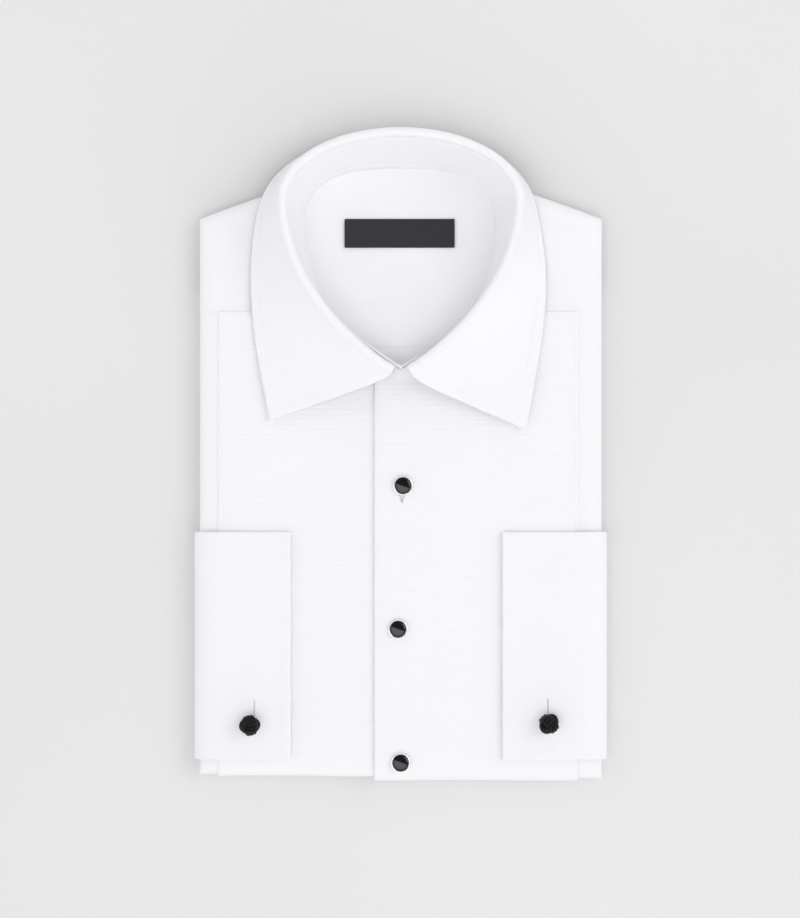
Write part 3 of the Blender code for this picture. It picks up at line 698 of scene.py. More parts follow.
@dataclass
class Body:
    """The fronts with their pleated bibs, the yoke and the back."""

    pleat_pitch: float = 3.0
    pleat_rise: float = 0.13
    bib_cloth: float = 0.55
    edge_sink: float = 0.52
    sink_above_z: float = 14.0
    pleat_peak: float = 0.88
    pleat_fall: float = 0.25
    bib_face: float = 1.2
    bib_turn: float = 115.0
    seam_inset: float = 2.0
    seam_lift: float = 0.32
    right_seam_x: float = -105.9
    left_seam_x: float = 102.9
    back_low_y: float = 60.0

    def _cloth(
        self,
        name: str,
        grid: Grid,
        finish: bpy.types.Material,
        on: list,
        slot: str = "white_cotton",
        relief: Grid | None = None,
        thick: float = CLOTH,
    ) -> bpy.types.Object:
        """A sheet that stands for the node of its own name, with "_cloth" taken off."""
        piece = shell(name, grid, thick, finish, relief)
        join_frame(piece, slot, name.removesuffix("_cloth"))
        declare(grid, opened=True)
        return piece

    def fronts(self, looks: Wardrobe) -> list:
        """Both fronts, from the yoke round the bottom fold to the hem underneath."""
        along = rows(list(np.linspace(0, 1, 90)), 180.0, 40)
        made = []
        for name, ply, x_from, x_to in (
            ("front_right_cloth", RIGHT_FRONT, -FLAT_HALF, LAP_HALF),
            ("front_left_cloth", LEFT_FRONT, -LAP_HALF, FLAT_HALF),
        ):
            grid = facing_up(ply.face(columns(x_from, x_to, 70), along, -CLOTH / 2))
            made.append(self._cloth(name, grid, looks.cotton, ["hidden_layers"]))
        return made

    def bibs(self, looks: Wardrobe, sewing: Stitching) -> list:
        """The bibs, tucked across in fine pleats and turned under at the bottom fold."""
        pleats = int((YOKE_SEAM_Y - BOTTOM_FOLD_Y) / self.pleat_pitch)
        parts = (0.0, 0.15, 0.4, 0.65, self.pleat_peak, 0.95)
        shares = [(k + part) / pleats for k in range(pleats) for part in parts] + [1.0]
        pleat = [part / self.pleat_peak if part <= self.pleat_peak else self.pleat_fall for part in parts]
        along = rows(shares, self.bib_turn, 0)
        rise = np.array(pleat * pleats + [0.0] * (len(along) - len(pleat) * pleats))
        made = []
        for name, ply, x_from, x_to, on in (
            ("bib_right_cloth", RIGHT_FRONT, self.right_seam_x, LAP_HALF, "front_right"),
            ("bib_left_cloth", LEFT_FRONT, -LAP_HALF, self.left_seam_x, "front_left"),
        ):
            grid = facing_up(ply.face(columns(x_from, x_to, 60), along, self.bib_face - self.bib_cloth / 2))
            beside = np.minimum(np.abs(grid[..., 0] - grid[:1, :, 0]), np.abs(grid[..., 0] - grid[-1:, :, 0]))
            above = YOKE_SEAM_Y - grid[..., 1]
            sink = self.edge_sink * (1 - ease(np.minimum(beside, above), 0.3, 4.5))
            grid[..., 2] -= sink * (grid[..., 2] > self.sink_above_z)
            patchy = 0.62 + 0.38 * np.sin(grid[..., 0] * 0.075 + np.sin(grid[..., 1] * 0.21) * 2.2)
            relief = rise[None, :] * self.pleat_rise * patchy * ease(beside, 0.5, 4.0)
            made.append(
                self._cloth(name, grid, looks.pleated, [on], "pleated_cotton", relief, self.bib_cloth)
            )
            lift = np.array([0.0, 0.0, self.bib_cloth / 2 + self.seam_lift])
            seam = inset_line(np.swapaxes(grid, 0, 1)[:, ::-1] + lift, self.seam_inset, 0.0)[: len(shares)]
            sewing.sew(name.replace("cloth", "seam_stitches"), [seam])
        return made

    def yoke(self, looks: Wardrobe, sewing: Stitching) -> list:
        """The yoke over the shoulders, and the back below its seam underneath."""
        across = columns(-FLAT_HALF, FLAT_HALF, 110)
        grid = facing_up(YOKE.face(across, rows(list(np.linspace(0, 1, 40)), 180.0, 16), -CLOTH / 2))
        yoke = self._cloth("yoke_cloth", grid, looks.cotton, ["hidden_layers"])
        seam = grid[:, 2] + np.array([0, 0, CLOTH / 2 + 0.05])
        sewing.sew("yoke_seam_stitches", [seam[np.abs(seam[:, 0]) < FLAT_HALF - 1]])
        under = YOKE.face(across, [(Run.UNDER, 1.0)], -CLOTH / 2)[:, 0]
        ys = np.linspace(YOKE.hem_y - GAP, self.back_low_y, 30)
        back = np.stack([np.stack([under[:, 0], np.full(len(under), y), under[:, 2]], 1) for y in ys], 1)
        self._cloth("back_cloth", facing_up(back)[::-1], looks.cotton, ["hidden_layers"])
        return [yoke]


@dataclass
class Layers:
    """The folded layers inside, whose soft edges show between the plies at the sides."""

    low_z: float = 1.8
    high_z: float = 13.0
    levels: int = 57
    around: int = 160
    half_width: float = 115.3
    inset: float = 5.2
    open_inset: float = 0.8
    open_z: tuple = (5.5, 7.7)
    fold_pitch: float = 1.25
    fold_lip: float = 0.9
    wander: float = 0.35
    slot_depth: float = 15.0
    slot_y: tuple = (-173.5, -45.0)
    slot_z: tuple = (4.6, 7.9)
    low_inset: float = 7.0
    top_inset: float = 6.5

    def _top(self, x: float) -> float:
        """How far up the layers reach."""
        return float(shoulder_edge(np.float64(x))) - self.top_inset

    def _ring(self, z: float) -> list:
        """The layers' outline at a height, from the bottom left round by the right."""
        lip = self.fold_lip * abs(math.cos(math.pi * z / self.fold_pitch)) ** 3
        inset = self.open_inset if self.open_z[0] < z < self.open_z[1] else self.inset
        half = self.half_width - inset - lip + self.wander * math.sin(z * 3.1)
        low, points = BOTTOM_FOLD_Y + self.low_inset, []
        for share in np.linspace(0, 1, self.around, endpoint=False):
            leg, part = divmod(share * 4, 1)
            if leg == 0:
                points.append((-half + 2 * half * part, low, z))
            elif leg == 2:
                x = half - 2 * half * part
                points.append((x, self._top(x), z))
            else:
                side, up = (1, part) if leg == 1 else (-1, 1 - part)
                y = low + (self._top(half) - low) * up
                wave = self.wander * math.sin(y * 0.09 + z * 2.3)
                slotted = self.slot_y[0] < y < self.slot_y[1] and self.slot_z[0] < z < self.slot_z[1]
                points.append((side * (half - wave - (self.slot_depth if slotted else 0.0)), y, z))
        return points

    def build(self, looks: Wardrobe) -> bpy.types.Object:
        """Makes the layers as one closed solid with ridged sides."""
        heights, count = np.linspace(self.low_z, self.high_z, self.levels), self.around
        base = np.array([self._ring(z) for z in heights])
        number = np.arange(len(heights) * count).reshape(len(heights), count)
        below, above = number[:-1], number[1:]
        quads = np.stack([below, np.roll(below, -1, 1), np.roll(above, -1, 1), above], 2).reshape(-1, 4)
        centre = len(heights) * count
        caps = []
        for ring, hub, flip in ((number[0], centre, True), (number[-1], centre + 1, False)):
            for k in range(0, count, 2):
                a, b, c = ring[k], ring[(k + 1) % count], ring[(k + 2) % count]
                caps.append([hub, c, b, a] if flip else [hub, a, b, c])
        points = np.concatenate([base.reshape(-1, 3), [[0, 0, heights[0]], [0, 0, heights[-1]]]])
        uv = np.stack([points[:, 0] + points[:, 1], points[:, 2]], 1) * MM
        piece = new_piece("hidden_layers_cloth", points, np.concatenate([quads, caps]), uv, looks.cotton)
        return join_frame(piece, "white_cotton", "hidden_layers")


# ---- The collar ----


@dataclass(frozen=True)
class Loop:
    """A collar line seen from above, an oval towards the back and a point towards the front."""

    half_width: float
    centre_y: float
    back_reach: float
    back_power: float
    front_reach: float
    front_power: float

    def at(self, angle: float, offset: float = 0.0) -> Grid:
        """The point at an angle from the back centre, moved out by an offset."""
        turn = math.radians(angle)
        back = math.cos(turn) >= 0
        reach = self.back_reach if back else self.front_reach
        power = self.back_power if back else self.front_power
        across = math.copysign(abs(math.sin(turn)) ** power, math.sin(turn))
        point = np.array([self.half_width * across, self.centre_y + reach * math.cos(turn)])
        return point + self.out(angle) * offset if offset else point

    def out(self, angle: float) -> Grid:
        """The direction out of the loop at an angle."""
        before, after = self.at(angle - 3.0), self.at(angle + 3.0)
        return unit(np.array([before[1] - after[1], after[0] - before[0]]))

    def half_at(self, y: float, inset: float = 0.0) -> float:
        """Half the loop's width at a height, less an inset."""
        back = y >= self.centre_y
        reach = (self.back_reach if back else self.front_reach) - inset
        power = self.back_power if back else self.front_power
        share = min(abs(y - self.centre_y) / reach, 1.0)
        return (self.half_width - inset) * (1 - share * share) ** (power / 2)


NECK = Loop(57.0, 140.0, 29.0, 0.7, 97.0, 1.4)
PLY_EDGE = Loop(56.6, 140.0, 28.6, 0.7, 94.6, 1.4)
ROLL = Loop(68.0, 147.5, 38.0, 1.0, 100.0, 1.74)

# Angle from the back centre, height of the roll, lead out of the roll, and x, y and z of the free edge
LEAF_LEFT = np.array([
    (0, 50.0, 0.6, 0.0, 188.0, 6.5),
    (35, 50.0, 0.8, 41.5, 181.5, 7.5),
    (60, 49.5, 1.2, 65.0, 168.0, 9.5),
    (75, 49.0, 2.0, 75.0, 153.5, 16.2),
    (90, 48.0, 3.0, 80.2, 134.0, 16.6),
    (105, 46.0, 4.0, 83.6, 107.0, 17.0),
    (125, 42.5, 5.0, 82.2, 76.0, 17.8),
    (148, 37.5, 7.5, 77.3, 45.0, 18.6),
    (167, 34.0, 9.0, 72.2, 16.0, 19.0),
])
LEAF_RIGHT = np.array([
    (0, 50.0, 0.6, 0.0, 188.0, 6.5),
    (35, 50.0, 0.8, -42.0, 181.5, 7.5),
    (60, 49.5, 1.2, -67.0, 168.0, 9.5),
    (75, 49.0, 2.0, -77.5, 155.0, 16.0),
    (90, 48.0, 3.0, -83.8, 136.0, 16.6),
    (105, 46.0, 4.0, -86.3, 110.0, 17.0),
    (125, 42.5, 5.0, -85.0, 76.0, 17.6),
    (148, 37.5, 6.0, -80.2, 46.0, 18.2),
    (167, 34.0, 6.0, -75.6, 21.5, 18.6),
])


def leaf_at(angle: float) -> Grid:
    """The collar's measures at an angle, on a smooth curve through its table's rows."""
    table = LEAF_LEFT if angle >= 0 else LEAF_RIGHT
    knots, values = table[:, 0], table[:, 1:]
    slopes = np.gradient(values, knots, axis=0)
    slopes[0] *= np.array([0, 0, 1, 0, 0])
    place = float(np.clip(abs(angle), knots[0], knots[-1]))
    k = min(int(np.searchsorted(knots, place, side="right")) - 1, len(knots) - 2)
    gap = knots[k + 1] - knots[k]
    s = (place - knots[k]) / gap
    return (
        values[k] * (1 - s) ** 2 * (1 + 2 * s)
        + values[k + 1] * s * s * (3 - 2 * s)
        + slopes[k] * gap * s * (1 - s) ** 2
        - slopes[k + 1] * gap * s * s * (1 - s)
    )


@dataclass
class Collar:
    """The stand and the fall that rolls over it, with the lining and the label inside the neck."""

    wall: float = 1.3
    roll_radius: float = 2.0
    overlap: float = 21.0
    leaf_end: float = 167.0
    foot_z: float = 10.8
    foot_top_z: float = 15.4
    stitch_inset: float = 5.5
    foot_inset: float = 0.8
    under_inset: float = 1.9
    stand_below: float = 3.9
    crease_from: tuple = (-57.0, 102.0)
    crease_run: tuple = (-28.0, -31.0)
    crease_length: float = 42.0
    crease_depth: float = 0.3
    crease_width: float = 2.4
    lining_z: float = 9.9
    lining_wall: float = 0.5
    label_z: float = 11.15
    label_wall: float = 0.4

    def _stand_line(self, angle: float) -> Grid:
        """The middle of the stand from its foot to its top."""
        inside = self.under_inset * (1 - float(ease(np.float64(angle), -158.0, -132.0)))
        foot = NECK.at(angle, -self.foot_inset - inside)
        top = ROLL.at(angle, -self.roll_radius - inside)
        beyond = min(max(abs(angle) - 180.0, 0.0) / self.overlap, 1.0)
        height = leaf_at(angle)[0] - self.roll_radius - self.stand_below - self.foot_top_z
        height *= 1 - 0.55 * beyond**3
        line = [(*foot, z) for z in np.linspace(self.foot_z, self.foot_top_z, 6)]
        for share in np.linspace(0, 1, 18)[1:]:
            line.append((*(foot + (top - foot) * share), self.foot_top_z + height * share))
        return np.array(line)

    def _leaf_line(self, angle: float) -> Grid:
        """The middle of the fall from the stand's top, over the roll and down to its free edge."""
        roll_z, lead, edge_x, edge_y, edge_z = leaf_at(angle)
        crest, out = ROLL.at(angle), ROLL.out(angle)
        hub = roll_z - self.roll_radius
        line = [(*(crest - out * self.roll_radius), hub - z) for z in (3.0, 1.5)]
        for turn in np.radians(np.linspace(180, 0, 13)):
            place = crest + out * self.roll_radius * math.cos(turn)
            line.append((*place, hub + self.roll_radius * math.sin(turn)))
        start, edge = np.array(line[-1]), np.array([edge_x, edge_y, edge_z])
        drop = start[2] - edge[2]
        first = np.array([*(start[:2] + out * lead), start[2] - 0.35 * drop])
        last = np.array([*(edge[:2] + (start[:2] - edge[:2]) * 0.42), edge[2] + 0.16 * drop])
        for s in np.linspace(0, 1, 46)[1:]:
            r = 1 - s
            line.append(tuple(r**3 * start + 3 * r * r * s * first + 3 * r * s * s * last + s**3 * edge))
        return np.array(line)

    def fall(self, looks: Wardrobe, sewing: Stitching) -> None:
        """The fall, with a sewn edge."""
        angles = np.linspace(-self.leaf_end, self.leaf_end, 320)
        grid = facing_up(np.stack([self._leaf_line(angle) for angle in angles]), (0.5, 0.15))
        edge = arc_lengths(grid, 1)
        edge = edge[:, -1:] - edge
        ends = arc_lengths(grid, 0)
        ends = np.minimum(ends, ends[-1:] - ends)
        near = np.minimum(edge, ends)
        relief = 0.16 * (1 - ease(near, 3.6, 5.0)) - 0.12 * hump(near, self.stitch_inset, 0.7)
        run, place = unit(np.array(self.crease_run)), grid[..., :2] - np.array(self.crease_from)
        along, away = place @ run, place @ np.array([run[1], -run[0]])
        fade = ease(along, -6.0, 8.0) * (1 - ease(along, self.crease_length - 10.0, self.crease_length))
        relief -= self.crease_depth * hump(away, 0.0, self.crease_width) * fade
        piece = shell("collar_fall_cloth", grid, self.wall, looks.cotton, relief)
        join_frame(piece, "white_cotton", "collar_fall")
        declare(grid)
        lift = self.wall / 2 - 0.02
        lines = [inset_line(grid, self.stitch_inset, lift, 5)]
        turned_grid = np.swapaxes(grid, 0, 1)
        shown = slice(20, -5)
        lines.append(inset_line(turned_grid, self.stitch_inset, -lift)[shown])
        lines.append(inset_line(turned_grid[:, ::-1], self.stitch_inset, lift)[shown])
        sewing.sew("collar_edge_stitches", lines)

    def stand(self, looks: Wardrobe, sewing: Stitching) -> None:
        """The stand, its left end over its right one."""
        ends = 180.0 + self.overlap
        grid = np.stack([self._stand_line(angle) for angle in np.linspace(-ends, ends, 320)])
        piece = shell("collar_stand_cloth", grid, self.wall, looks.cotton)
        join_frame(piece, "white_cotton", "collar_stand")
        declare(grid)
        normal, centre = normals_of(grid), grid[:, :, :2].mean((0, 1))
        outward = ((grid[..., :2] - centre) * normal[..., :2]).sum(2).mean() > 0
        face = grid + normal * ((-1.0 if outward else 1.0) * (self.wall / 2 + 0.03))
        sewing.sew("collar_stand_stitches", [face[20:-20, 8], face[20:-20, -4]])

    def inside(self, looks: Wardrobe, sewing: Stitching) -> None:
        """The yoke lining and the back below it, seen down the neck."""
        spans = {
            "yoke_lining": (INNER_SEAM_Y - 0.9, NECK.centre_y + NECK.back_reach - 1.2, 0.35),
            "back_inside": (NECK.centre_y - NECK.front_reach + 1.6, INNER_SEAM_Y + 0.9, 0.0),
        }
        for name, (low, high, lift) in spans.items():
            ys = low + (high - low) * np.sin(np.linspace(0, 1, 70) * math.pi / 2)
            if name == "back_inside":
                ys = high - (high - low) * np.sin(np.linspace(1, 0, 50) * math.pi / 2)
            lines = []
            for y in ys:
                half = max(NECK.half_at(y, 0.9), 0.6)
                x = np.linspace(-half, half, 90)
                reach = NECK.back_reach if y >= NECK.centre_y else NECK.front_reach
                rim = np.maximum(np.abs(x) / half * (half > 3), abs(y - NECK.centre_y) / reach)
                z = self.lining_z + lift + 0.22 * np.sin(x * 0.09 + 1) * np.sin(y * 0.07) * (1 - rim**4)
                lines.append(np.stack([x, np.full(90, y), z], 1))
            grid = facing_up(np.stack(lines, 1), (0.5, 0.5))
            piece = shell(name + "_cloth", grid, self.lining_wall, looks.cotton)
            join_frame(piece, "white_cotton", name)
            declare(grid)
            if name == "yoke_lining":
                seams = [grid[4:-4, row] + np.array([0, 0, 0.3]) for row in (1, 3)]
                sewing.sew("inner_seam_stitches", seams)

    def label(self, looks: Wardrobe) -> None:
        """The plain woven label."""
        low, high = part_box("label")
        x = np.linspace(low.x, high.x, 60) / MM
        y = np.linspace(low.y, high.y, 20) / MM
        grid_x, grid_y = np.meshgrid(x, y, indexing="ij")
        middle = (low.x + high.x) / 2 / MM
        z = self.label_z + 0.12 * np.sin(grid_x * 0.16) * np.sin(grid_y * 0.3)
        z += 0.35 * ((grid_x - middle) / 32) ** 4
        grid = np.stack([grid_x, grid_y, z], 2)
        piece = shell("label_cloth", grid, self.label_wall, looks.label)
        join_frame(piece, "black_label", "label")
        declare(grid)


# ---- Cuffs, sleeves and links ----


@dataclass(frozen=True)
class Link:
    """Where a cuff's link goes through."""

    name: str
    x: float
    y: float
    slit_x: float
    fold_x: float
    tilt: tuple

    @property
    def side(self) -> float:
        """Which side of the shirt: 1 or -1."""
        return math.copysign(1.0, self.x)


LINKS = (
    Link("right", -87.2, -155.2, -84.9, 63.8, (0.35, 0.5, 0.25)),
    Link("left", 85.5, -154.3, 85.2, 59.0, (-0.45, 0.3, 0.75)),
)


@dataclass
class Cuff:
    """A double cuff folded round the side onto the front, with the sleeve that it ends."""

    link: Link
    top_y: float = -43.6
    open_y: float = -175.4
    rest_z: float = 16.3
    turn_x: float = 105.2
    turn_width: float = 12.2
    end_z: float = 9.2
    cloth: float = 1.0
    near: float = 0.65
    far: float = 2.15
    mound_rise: float = 2.9
    mound_spread: float = 242.0
    fold_rise: float = 0.5
    most_sink: float = 0.45
    slit_rise: float = 5.5
    slit_half_wide: float = 0.13
    slit_half_long: float = 8.5
    bound_half: float = 0.55
    wrist_z: float = 6.2
    wrist_bend: float = 2.2
    wrist_reach: float = 1.45
    wrist_wall: float = 1.7
    head_span: tuple = (51.0, 107.0)
    head_low_y: float = 51.0
    head_z: float = 2.8
    head_wall: float = 1.5

    def _mound(self, x: Grid, y: Grid) -> Grid:
        """How far the link lifts the cloth round it, at x measured out from the middle."""
        apart = (x - self.link.side * self.link.x) ** 2 + (y - self.link.y) ** 2
        return self.mound_rise * np.exp(-apart / self.mound_spread)

    def _creases(self, x: Grid, y: Grid) -> Grid:
        """How far soft troughs sink the cuff's faces."""
        if self.link.name == "right":
            start, end, depth, width = (100.0, -70.0), (66.0, -135.0), 0.6, 8.0
        else:
            start, end, depth, width = (88.0, -60.0), (64.0, -120.0), 0.35, 9.0
        run = np.array([end[0] - start[0], end[1] - start[1]])
        length = float(np.hypot(*run))
        run = run / length
        along = (x - start[0]) * run[0] + (y - start[1]) * run[1]
        away = (x - start[0]) * run[1] - (y - start[1]) * run[0]
        ends = ease(along, -18.0, 12.0) * (1 - ease(along, length - 12.0, length + 18.0))
        return depth * ends * hump(away, 0.0, width)

    def _grid(self) -> Grid:
        """The middle of the cuff's cloth, in along one ply, round the fold and back along the other."""
        flat = [(x, self.rest_z, 0.0, 1.0, 1.0) for x in np.linspace(self.link.fold_x + 0.5, self.turn_x, 60)]
        drop = self.rest_z - self.end_z
        for turn in np.radians(np.linspace(0, 90, 22))[1:]:
            out = unit(np.array([math.sin(turn) * drop, math.cos(turn) * self.turn_width]))
            x, z = self.turn_x + self.turn_width * math.sin(turn), self.end_z + drop * math.cos(turn)
            flat.append((x, z, out[0], out[1], math.cos(turn) ** 4))
        bend, middle = (self.far - self.near) / 2, (self.far + self.near) / 2
        centre = self.top_y - self.cloth / 2 - bend
        run = np.linspace(self.open_y, centre, 110)
        section = [(y, self.near) for y in run]
        for a in np.radians(np.linspace(-90, 90, 11))[1:-1]:
            section.append((centre + bend * math.cos(a), middle + bend * math.sin(a)))
        section += [(y, self.far) for y in run[::-1]]
        y, away = np.array(section).T
        columns_made = []
        for x, z, out_x, out_z, flatness in flat:
            sink = self._creases(np.full_like(y, x), y) * (0.35 + 0.65 * (away > middle))
            wave = 0.12 * np.sin(y * 0.11 + x * 0.05) * ease(np.float64(x), 62.0, 80.0)
            proud = self.fold_rise * (1 - float(ease(np.float64(x), self.link.fold_x, self.link.fold_x + 9.0)))
            proud *= ease(y, self.open_y + 4.0, self.open_y + 30.0)
            raised = self._mound(x, y) + proud - np.minimum(sink, self.most_sink) + wave * (away > middle)
            lift = away + raised * flatness
            columns_made.append(np.stack([self.link.side * (x + out_x * lift), y, z + out_z * lift], 1))
        return np.stack(columns_made)

    def build(self, looks: Wardrobe, sewing: Stitching) -> None:
        """Makes the cuff with its slit, the wrist beside it and the sleeve's head underneath."""
        grid = self._grid()
        if normals_of(grid)[20, -30, 2] < 0:
            grid = grid[::-1]
        name = "cuff_" + self.link.name
        piece = shell(name + "_cloth", grid, self.cloth, looks.cotton)
        x, y = self.link.slit_x, self.link.y + self.slit_rise
        cutter = prism("slit", oblong(x, y, self.slit_half_wide, self.slit_half_long), SLIT_LOW, CUT_TOP)
        carve(piece, [cutter])
        bpy.data.objects.remove(cutter, do_unlink=True)
        join_frame(piece, "white_cotton", name)
        declare(grid)
        face = grid + normals_of(grid) * (self.cloth / 2 + 0.02)
        across = face if abs(face[0, -1, 0]) < abs(face[-1, -1, 0]) else face[::-1]
        half = across.shape[1] // 2 + 6
        edge_column = across[6, half:-5]
        sewing.sew(name + "_stitches", [edge_column, across[6:-6, -6]])
        top = self.rest_z + self.far + self.cloth / 2
        run = np.linspace(y - self.slit_half_long, y + self.slit_half_long, 30)
        height = top + self._mound(self.link.side * x, run) + 0.03
        sides = (x - self.bound_half, x + self.bound_half)
        bound = [np.stack([np.full(30, side), run, height], 1) for side in sides]
        sewing.sew(name + "_slit_stitches", bound, pitch=0.55, length=0.6, width=0.55)
        self._wrist(looks)
        self._head(looks)

    def _wrist(self, looks: Wardrobe) -> None:
        """The sleeve's end pressed flat, out of the stack and up to the cuff."""
        bend = self.wrist_bend
        bend_x, bend_z = self.turn_x + self.turn_width + self.wrist_reach - bend, self.wrist_z + bend
        path = [(x, self.wrist_z) for x in np.linspace(101.0, bend_x, 14)]
        for a in np.radians(np.linspace(0, 90, 10))[1:]:
            path.append((bend_x + bend * math.sin(a), bend_z - bend * math.cos(a)))
        path.append((path[-1][0], self.end_z - 0.25))
        ys = np.linspace(self.open_y + 3.5, self.top_y - 3.5, 70)
        wave = 0.15 * np.sin(ys * 0.13)
        grid = np.stack([np.stack([np.full(70, self.link.side * x), ys, z + wave], 1) for x, z in path])
        name = f"sleeve_{self.link.name}_wrist"
        facing = grid if normals_of(grid)[2, 9, 2] < 0 else grid[::-1]
        piece = shell(name + "_cloth", facing, self.wrist_wall, looks.cotton)
        join_frame(piece, "white_cotton", name)
        declare(grid)

    def _head(self, looks: Wardrobe) -> None:
        """The sleeve's head pressed flat under the back."""
        lines = []
        for x in np.linspace(*self.head_span, 40):
            ys = np.linspace(self.head_low_y, float(shoulder_edge(np.float64(x))) - 10.0, 60)
            z = self.head_z + 0.2 * np.sin(ys * 0.1 + x * 0.08)
            lines.append(np.stack([np.full(60, self.link.side * x), ys, z], 1))
        name = f"sleeve_{self.link.name}_head"
        grid = np.stack(lines)
        piece = shell(name + "_cloth", facing_up(grid), self.head_wall, looks.cotton)
        join_frame(piece, "white_cotton", name)
        declare(grid)


@dataclass
class Knot:
    """A silk knot: three bands of parallel cords, woven over and under round a ball."""

    link: Link
    reach: float = 4.55
    weave: float = 0.75
    cord: float = 0.92
    lane: float = 1.78
    core_reach: float = 4.1
    core_rise: float = 3.9
    steps: int = 72
    sides: int = 12

    def build(self, looks: Wardrobe) -> None:
        """Makes the knot's cords round a dark core."""
        low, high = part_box(f"link_{self.link.name}_knot")
        centre = np.array([(low.x + high.x), (low.y + high.y), (low.z + high.z)]) / 2 / MM
        squeeze = (high.z - low.z) / MM / 2 / (self.reach + self.weave + self.cord)
        turn = np.array(Euler(self.link.tilt).to_matrix())
        points, faces, uvs, first = [], [], [], 0
        theta = np.linspace(0, 2 * np.pi, self.steps, endpoint=False)
        around = np.linspace(0, 2 * np.pi, self.sides, endpoint=False)
        for band in range(3):
            axes = np.eye(3)[[(band + 1) % 3, (band + 2) % 3, band]]
            for lane in (-1, 0, 1):
                radius = (self.reach + self.weave * np.cos(2 * theta)) * math.sqrt(1 - (lane * 0.3) ** 2)
                spoke = np.cos(theta)[:, None] * axes[0] + np.sin(theta)[:, None] * axes[1]
                middle = spoke * radius[:, None] + axes[2] * self.lane * lane
                ring = (
                    middle[:, None]
                    + spoke[:, None] * (self.cord * np.cos(around))[None, :, None]
                    + axes[2] * (self.cord * np.sin(around))[None, :, None]
                )
                ring = (ring.reshape(-1, 3) @ turn.T) * np.array([1, 1, squeeze]) + centre
                number = first + np.arange(self.steps * self.sides).reshape(self.steps, self.sides)
                ahead, aside = np.roll(number, -1, 0), np.roll(number, -1, 1)
                faces.append(np.stack([number, ahead, np.roll(ahead, -1, 1), aside], 2).reshape(-1, 4))
                points.append(ring)
                run = np.repeat(theta * self.reach * MM, self.sides)
                uvs.append(np.stack([run, np.tile(around / (2 * np.pi), self.steps)], 1))
                first += self.steps * self.sides
        name = f"link_{self.link.name}_knot_cords"
        uv, outward = np.concatenate(uvs), np.concatenate(faces)[:, ::-1]
        piece = new_piece(name, np.concatenate(points), outward, uv, looks.cord)
        join_frame(piece, "black_cord", f"link_{self.link.name}_knot")
        core = [(0.0, centre[2] - self.core_rise)]
        for a in np.radians(np.linspace(-70, 70, 9)):
            core.append((self.core_reach * math.cos(a), centre[2] + self.core_rise * math.sin(a)))
        core.append((0.0, centre[2] + self.core_rise))
        ball = turned(name.replace("cords", "core"), tuple(centre[:2]), core, 32, looks.cord)
        join_frame(ball, "black_cord")


@dataclass
class Stud:
    """A dress stud: a bright cup with a domed black inlay."""

    number: int
    x: float
    y: float
    radius: float = 5.7
    notch: float = 0.0
    hole: float = 1.5
    height: float = 1.6
    post: float = 1.1
    plate: float = 2.7
    rim: float = 0.45
    seat: float = 0.8
    inlay_gap: float = 0.96
    dome_rise: float = 0.95
    sides: int = 96

    def build(self, looks: Wardrobe) -> None:
        """Makes the cup on its post and the inlay."""
        name, place = f"stud_{self.number}", (self.x, self.y)
        low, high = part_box(name)
        base, floor, ring = high.z / MM - self.height, low.z / MM, self.radius - self.rim
        cup = [(0, floor), (self.plate - 0.2, floor), (self.plate, floor + 0.2), (self.plate, floor + 0.8)]
        cup += [(self.post, floor + 1.0), (self.post, base), (self.radius - 0.5, base)]
        for a in np.radians((-60, -30, 0)):
            cup.append((ring + self.rim * math.cos(a), base + 0.5 + 0.5 * math.sin(a)))
        for a in np.radians(range(0, 181, 20)):
            cup.append((ring + self.rim * math.cos(a), base + 1.15 + self.rim * math.sin(a)))
        cup += [(self.radius - 2 * self.rim, base + self.seat), (0, base + self.seat)]
        join_frame(turned(name + "_cup", place, cup, self.sides, looks.silver), "silver", name)
        reach = self.radius - self.inlay_gap
        dome = [(0, base + 0.9), (reach, base + 0.9), (reach, base + 1.45)]
        for a in np.radians(range(6, 88, 6)):
            dome.append((reach * math.cos(a), base + 1.5 + self.dome_rise * math.sin(a)))
        dome.append((0, base + 1.5 + self.dome_rise))
        inlay = turned(name + "_dome", place, dome, self.sides, looks.gloss)
        join_frame(inlay, "black_gloss", name + "_inlay")


STUDS = (Stud(1, 1.3, -16.8, notch=10.7), Stud(2, -1.6, -100.0), Stud(3, -0.1, -177.5))


def open_neck_and_slots(fronts: list, bibs: list, others: list) -> None:
    """Cuts the neck out of the plies and the studs' slots and holes out of the fronts."""
    angles = np.linspace(-180, 180, 160)[:-1]
    neck = prism("neck", [tuple(PLY_EDGE.at(angle)) for angle in angles], NECK_CUT_LOW, NECK_CUT_TOP)
    round_stand = [tuple(NECK.at(angle, 2 * GAP)) for angle in angles]
    pocket = prism("pocket", round_stand, NECK_CUT_LOW, NECK_CUT_TOP)
    slots, holes = [], []
    for stud in STUDS:
        x, y = stud.x, stud.y
        slots.append(prism(f"slot_{stud.number}", oblong(x, y, 1.3, 2.5), SLOT_LOW, CUT_TOP))
        if stud.notch:
            corners = [(x - 3.2, y - 3.0), (x - 0.6, y - stud.notch), (x + 1.9, y - 3.0)]
            slots.append(prism(f"notch_{stud.number}", corners, NOTCH_LOW, CUT_TOP))
        ring = [
            (x + stud.hole * math.cos(a), y + stud.hole * math.sin(a)) for a in np.radians(range(0, 360, 20))
        ]
        holes.append(prism(f"hole_{stud.number}", ring, HOLE_LOW, HOLE_TOP))
    for piece in (*fronts, *bibs, *others):
        under = piece.name.endswith("right_cloth")
        if piece in others:
            carve(piece, [pocket if piece.name.startswith("hidden") else neck])
        else:
            carve(piece, [neck, *(holes if under else slots)])
    for cutter in (neck, pocket, *slots, *holes):
        bpy.data.objects.remove(cutter, do_unlink=True)


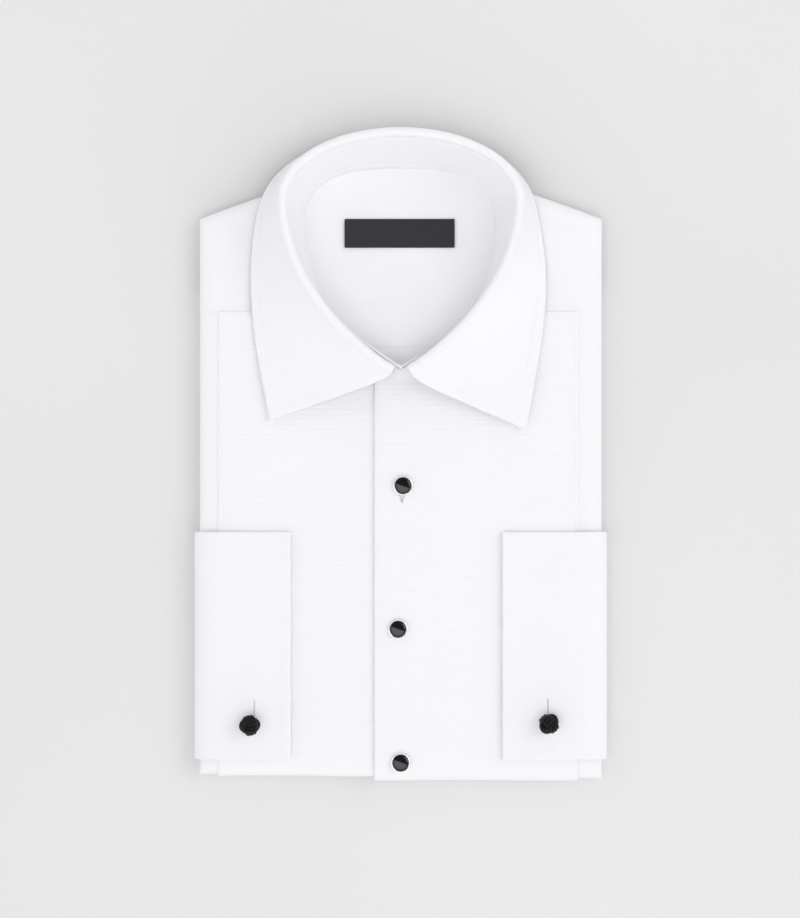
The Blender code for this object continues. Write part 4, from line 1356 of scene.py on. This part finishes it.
@dataclass
class Studio:
    """The pale floor, the soft light and the camera straight above."""

    place: tuple = (-0.46, -1.45, 2017.0)
    lens: float = 135.2
    fill: float = 0.97
    key: float = 32.0
    key_place: tuple = (2.4, 0.84, 3.2)
    key_size: float = 2.2
    floor_half: float = 6000.0
    screen_slant: float = 0.35
    screen_gain: float = 1.5
    screen_loss: float = 0.86

    def build(self, looks: Wardrobe) -> None:
        """Makes the floor, the lights and the camera."""
        scene = bpy.context.scene
        scene.view_settings.view_transform = "Standard"
        scene.world = self._surround()
        half = self.floor_half
        corners = np.array([(-half, -half, 0), (half, -half, 0), (half, half, 0), (-half, half, 0)], float)
        new_piece("floor", corners, np.array([[0, 1, 2, 3]]), None, looks.floor)
        light = bpy.data.lights.new("key", "AREA")
        light.energy, light.size = self.key, self.key_size
        lamp = placed("key", light)
        lamp.location = Vector(self.key_place)
        lamp.rotation_mode = "QUATERNION"
        lamp.rotation_quaternion = (-lamp.location).to_track_quat("-Z", "Y")
        glass = bpy.data.cameras.new("camera")
        glass.lens, glass.sensor_width = self.lens, 36.0
        camera = placed("camera", glass)
        camera.location = Vector(self.place) * MM
        scene.camera = camera

    def _surround(self) -> bpy.types.World:
        """White all round, with a lighter screen overhead on one side and a darker one on the other."""
        sky = Tree(bpy.data.worlds.new("soft_fill"))
        aim = sky.node("ShaderNodeTexCoord", out="Generated")
        outputs = sky.node("ShaderNodeSeparateXYZ", {}, {0: aim}).socket.node.outputs
        x, y, z = (Wire(sky, socket) for socket in outputs)

        def step(value: Wire, start: float, end: float) -> Wire:
            """0 at the start, 1 at the end and smooth between them."""
            settings = {"interpolation_type": "SMOOTHSTEP"}
            return sky.node("ShaderNodeMapRange", settings, {0: value, 1: start, 2: end})

        near = step(y + x * self.screen_slant, -0.02, -0.07)
        lighter = near * step(z, 0.82, 0.9) * self.screen_gain
        darker = (1 - near) * step(z, 0.66, 0.76) * self.screen_loss
        white = (1.0, 1.0, 1.0, 1.0)
        light = sky.node("ShaderNodeBackground", {}, {0: white, 1: (1 + lighter - darker) * self.fill})
        output = sky.nodes.new("ShaderNodeOutputWorld")
        sky.links.new(light.socket, output.inputs[0])
        return sky.owner


def dress_kept_nodes(looks: Wardrobe) -> None:
    """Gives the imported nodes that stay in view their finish."""
    for link in LINKS:
        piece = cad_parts[f"link_{link.name}_inner"]
        piece.data.materials.clear()
        piece.data.materials.append(looks.cord)


def main() -> None:
    """Builds the shirt from the inside out and sets the studio."""
    logging.basicConfig(level=logging.INFO)
    looks = Wardrobe()
    sewing = Stitching(looks.thread)
    body = Body()
    layers = Layers().build(looks)
    fronts = body.fronts(looks)
    bibs = body.bibs(looks, sewing)
    yoke = body.yoke(looks, sewing)
    open_neck_and_slots(fronts, bibs, [*yoke, layers])
    collar = Collar()
    collar.inside(looks, sewing)
    collar.label(looks)
    collar.stand(looks, sewing)
    collar.fall(looks, sewing)
    for link in LINKS:
        Cuff(link).build(looks, sewing)
        Knot(link).build(looks)
    for stud in STUDS:
        stud.build(looks)
    dress_kept_nodes(looks)
    Studio().build(looks)


if __name__ == "__main__":
    main()
